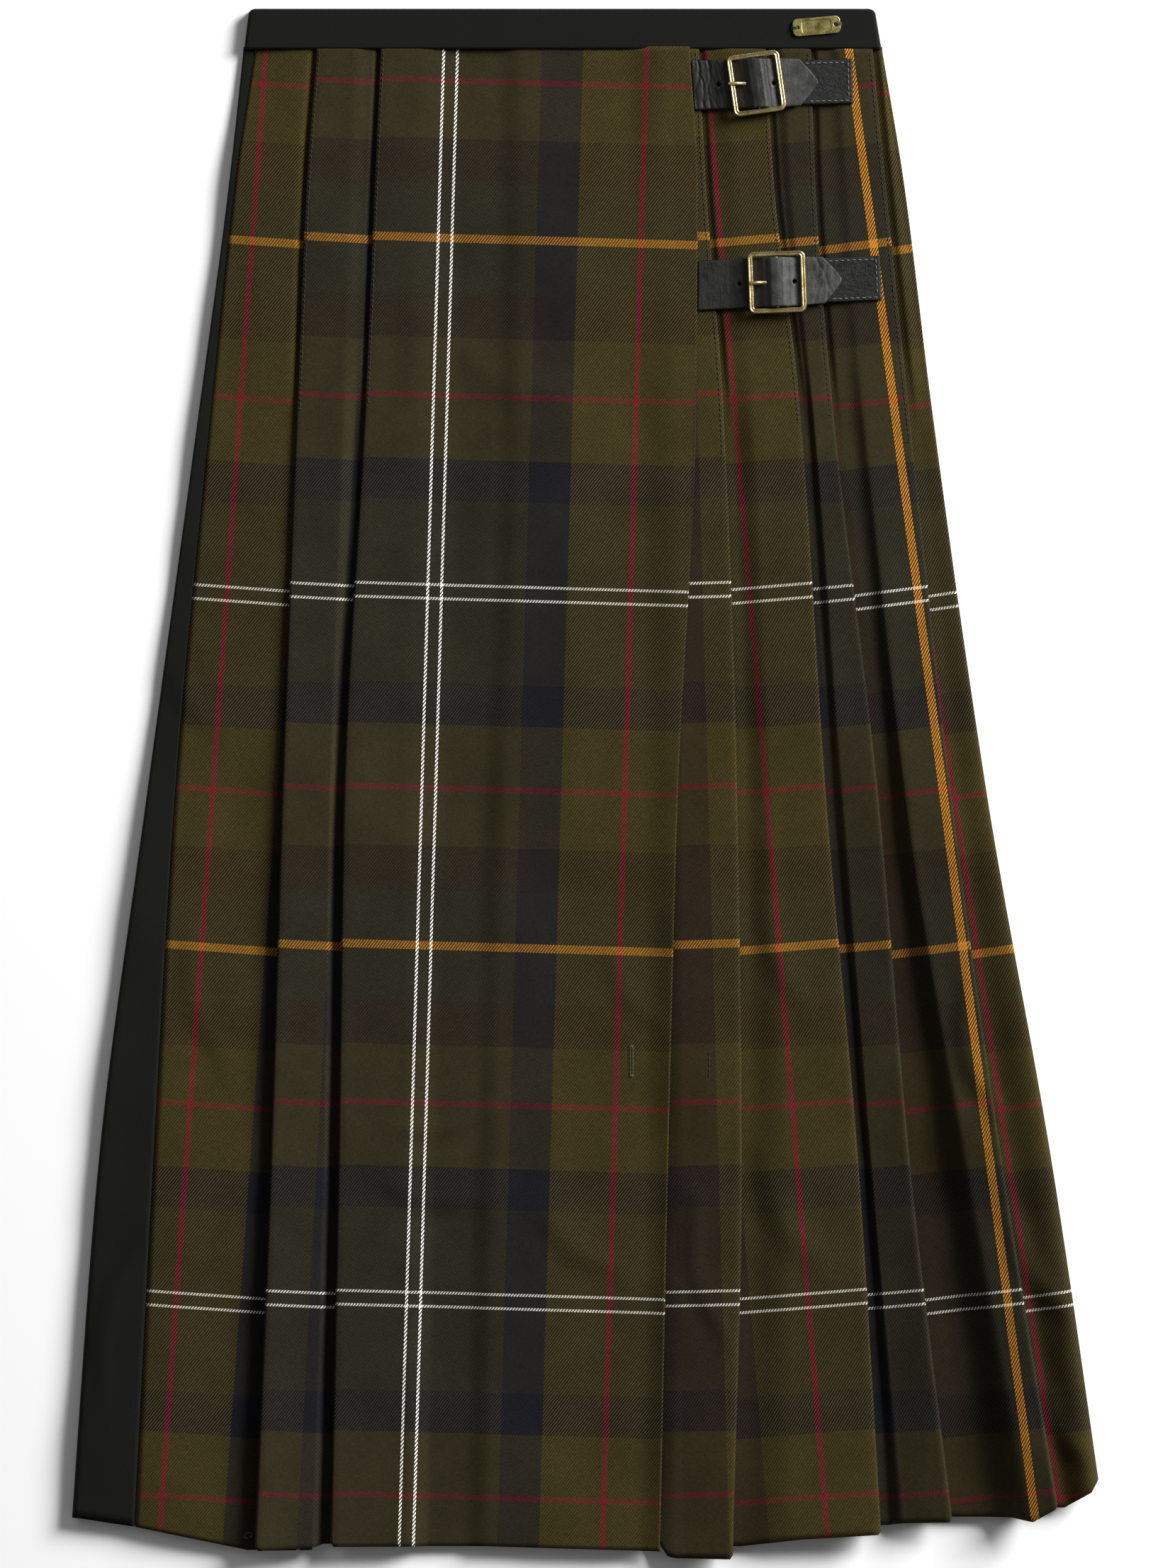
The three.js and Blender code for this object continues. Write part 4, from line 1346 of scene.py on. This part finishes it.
def tab_stitching(height):
    """Three rows of grey stitches round the end of each tab."""
    ends = []
    for fitting in FITTINGS.values():
        right = fitting["tab_end"] - 2.3
        top = STRAP["tab_width"] / 2 - 1.9
        left = fitting["tip"] - 7.0
        corners = [(left, top), (right, top), (right, -top), (left, -top)]
        for start, end in zip(corners[:-1], corners[1:]):
            local = [(mix(start[0], end[0], t), mix(start[1], end[1], t), 0.0) for t in np.linspace(0, 1, 9)]
            line = fitting_place(fitting, local)[:, :2]
            ends += stitched_line(height, line, 2.3, 0.9, 0.02)
    return stitches("stitches_tabs", ends, 0.55, GREY_THREAD, bow=0.3)


# One turn of thread: how far past the hole's edge, the share of its spread, and its height.
TIE_ROUTE = [(-0.4, 0.5, 0.4), (0.1, 0.7, 1.35), (1.3, 1.0, 1.6), (2.3, 1.0, 1.3), (3.0, 1.1, 0.1)]


def plate_ties():
    """Black thread from each hole of the plate over its end, three turns a side."""
    start = PLATE["size"][0] / 2 - 2.3
    at = np.array([*PLATE["centre"], PLATE["rest"] - 0.25])
    ties = []
    for side in (-1, 1):
        for spread in (-0.55, 0.0, 0.55):
            route = [(side * (start + x), across * spread, z) for x, across, z in TIE_ROUTE]
            line = turned(smooth_path(route, 22), PLATE["turn"]) + at
            ties.append(closed_tube("tie", line, 0.3, 0.3, 8, DARK_THREAD, closed=False))
    return join("thread_plate_ties", ties)


def light(name, energy, at, size):
    """A square area light that faces the skirt's middle."""
    data = bpy.data.lights.new(name, "AREA")
    data.energy = energy
    data.shape = "SQUARE"
    data.size = size
    made = linked(name, data)
    made.location = at
    made.rotation_euler = (-Vector(at)).to_track_quat("-Z", "Y").to_euler()


def floor_material():
    nodes = Nodes("white_floor")
    nodes.set(Base_Color=(0.96, 0.96, 0.96, 1.0), Roughness=0.9, Specular_IOR_Level=0.2)
    return nodes.material


FLOOR_REACH = 4.0
FLOOR_Z = -0.0006
CAMERA = {"at": (0.00094, -0.000185, 6.0), "sensor": 36.0, "seen_width": 0.8516}


def stage():
    data = bpy.data.meshes.new("floor")
    corners = [(FLOOR_REACH * x, FLOOR_REACH * y, FLOOR_Z) for x, y in ((-1, -1), (1, -1), (1, 1), (-1, 1))]
    data.from_pydata(corners, [], [[0, 1, 2, 3]])
    data.materials.append(floor_material())
    linked("floor", data)
    world = bpy.data.worlds.new("studio")
    bpy.context.scene.world = world
    world.use_nodes = True
    background = world.node_tree.nodes["Background"]
    background.inputs["Color"].default_value = (1.0, 1.0, 1.0, 1.0)
    background.inputs["Strength"].default_value = 0.14
    light("key", 480.0, (3.4, 2.3, 2.15), 2.0)
    light("fill", 6.0, (-1.5, 1.2, 2.2), 1.6)
    bpy.context.scene.view_settings.view_transform = "Standard"


def camera():
    data = bpy.data.cameras.new("camera")
    data.sensor_width = CAMERA["sensor"]
    data.lens = CAMERA["sensor"] * CAMERA["at"][2] / CAMERA["seen_width"]
    data.clip_end = 20.0
    made = linked("camera", data)
    made.location = CAMERA["at"]
    bpy.context.scene.camera = made


def declare(piece, node):
    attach(piece, "root")
    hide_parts(node)


def declare_cloth(made):
    for node, piece in made.items():
        declare(piece, node)


def main():
    cloth = panels()
    for name in BAND_LAYERS:
        cloth[name] = waistband(name)
    declare_cloth(cloth)
    leather = []
    for name in FITTINGS:
        for kind, slot, make in (
            ("strap", "black_leather", strap),
            ("tab", "black_leather", tab),
            ("buckle", "brass", buckle),
            ("prong", "brass", prong),
        ):
            piece = make(name)
            declare(piece, f"{kind}_{name}")
            if slot == "black_leather":
                leather.append(piece)
    cloth_height = surface_of([cloth["right_panel"], cloth["front_apron"]])
    sewn = [fold_stitching(cloth_height), buttonhole(cloth_height), closed_slit(cloth_height)]
    sewn += [thread_end(cloth_height), tab_stitching(surface_of(leather)), plate_ties()]
    for piece in sewn:
        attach(piece, "root")
    declare(waist_plate(), "waist_plate")
    stage()
    camera()


main()
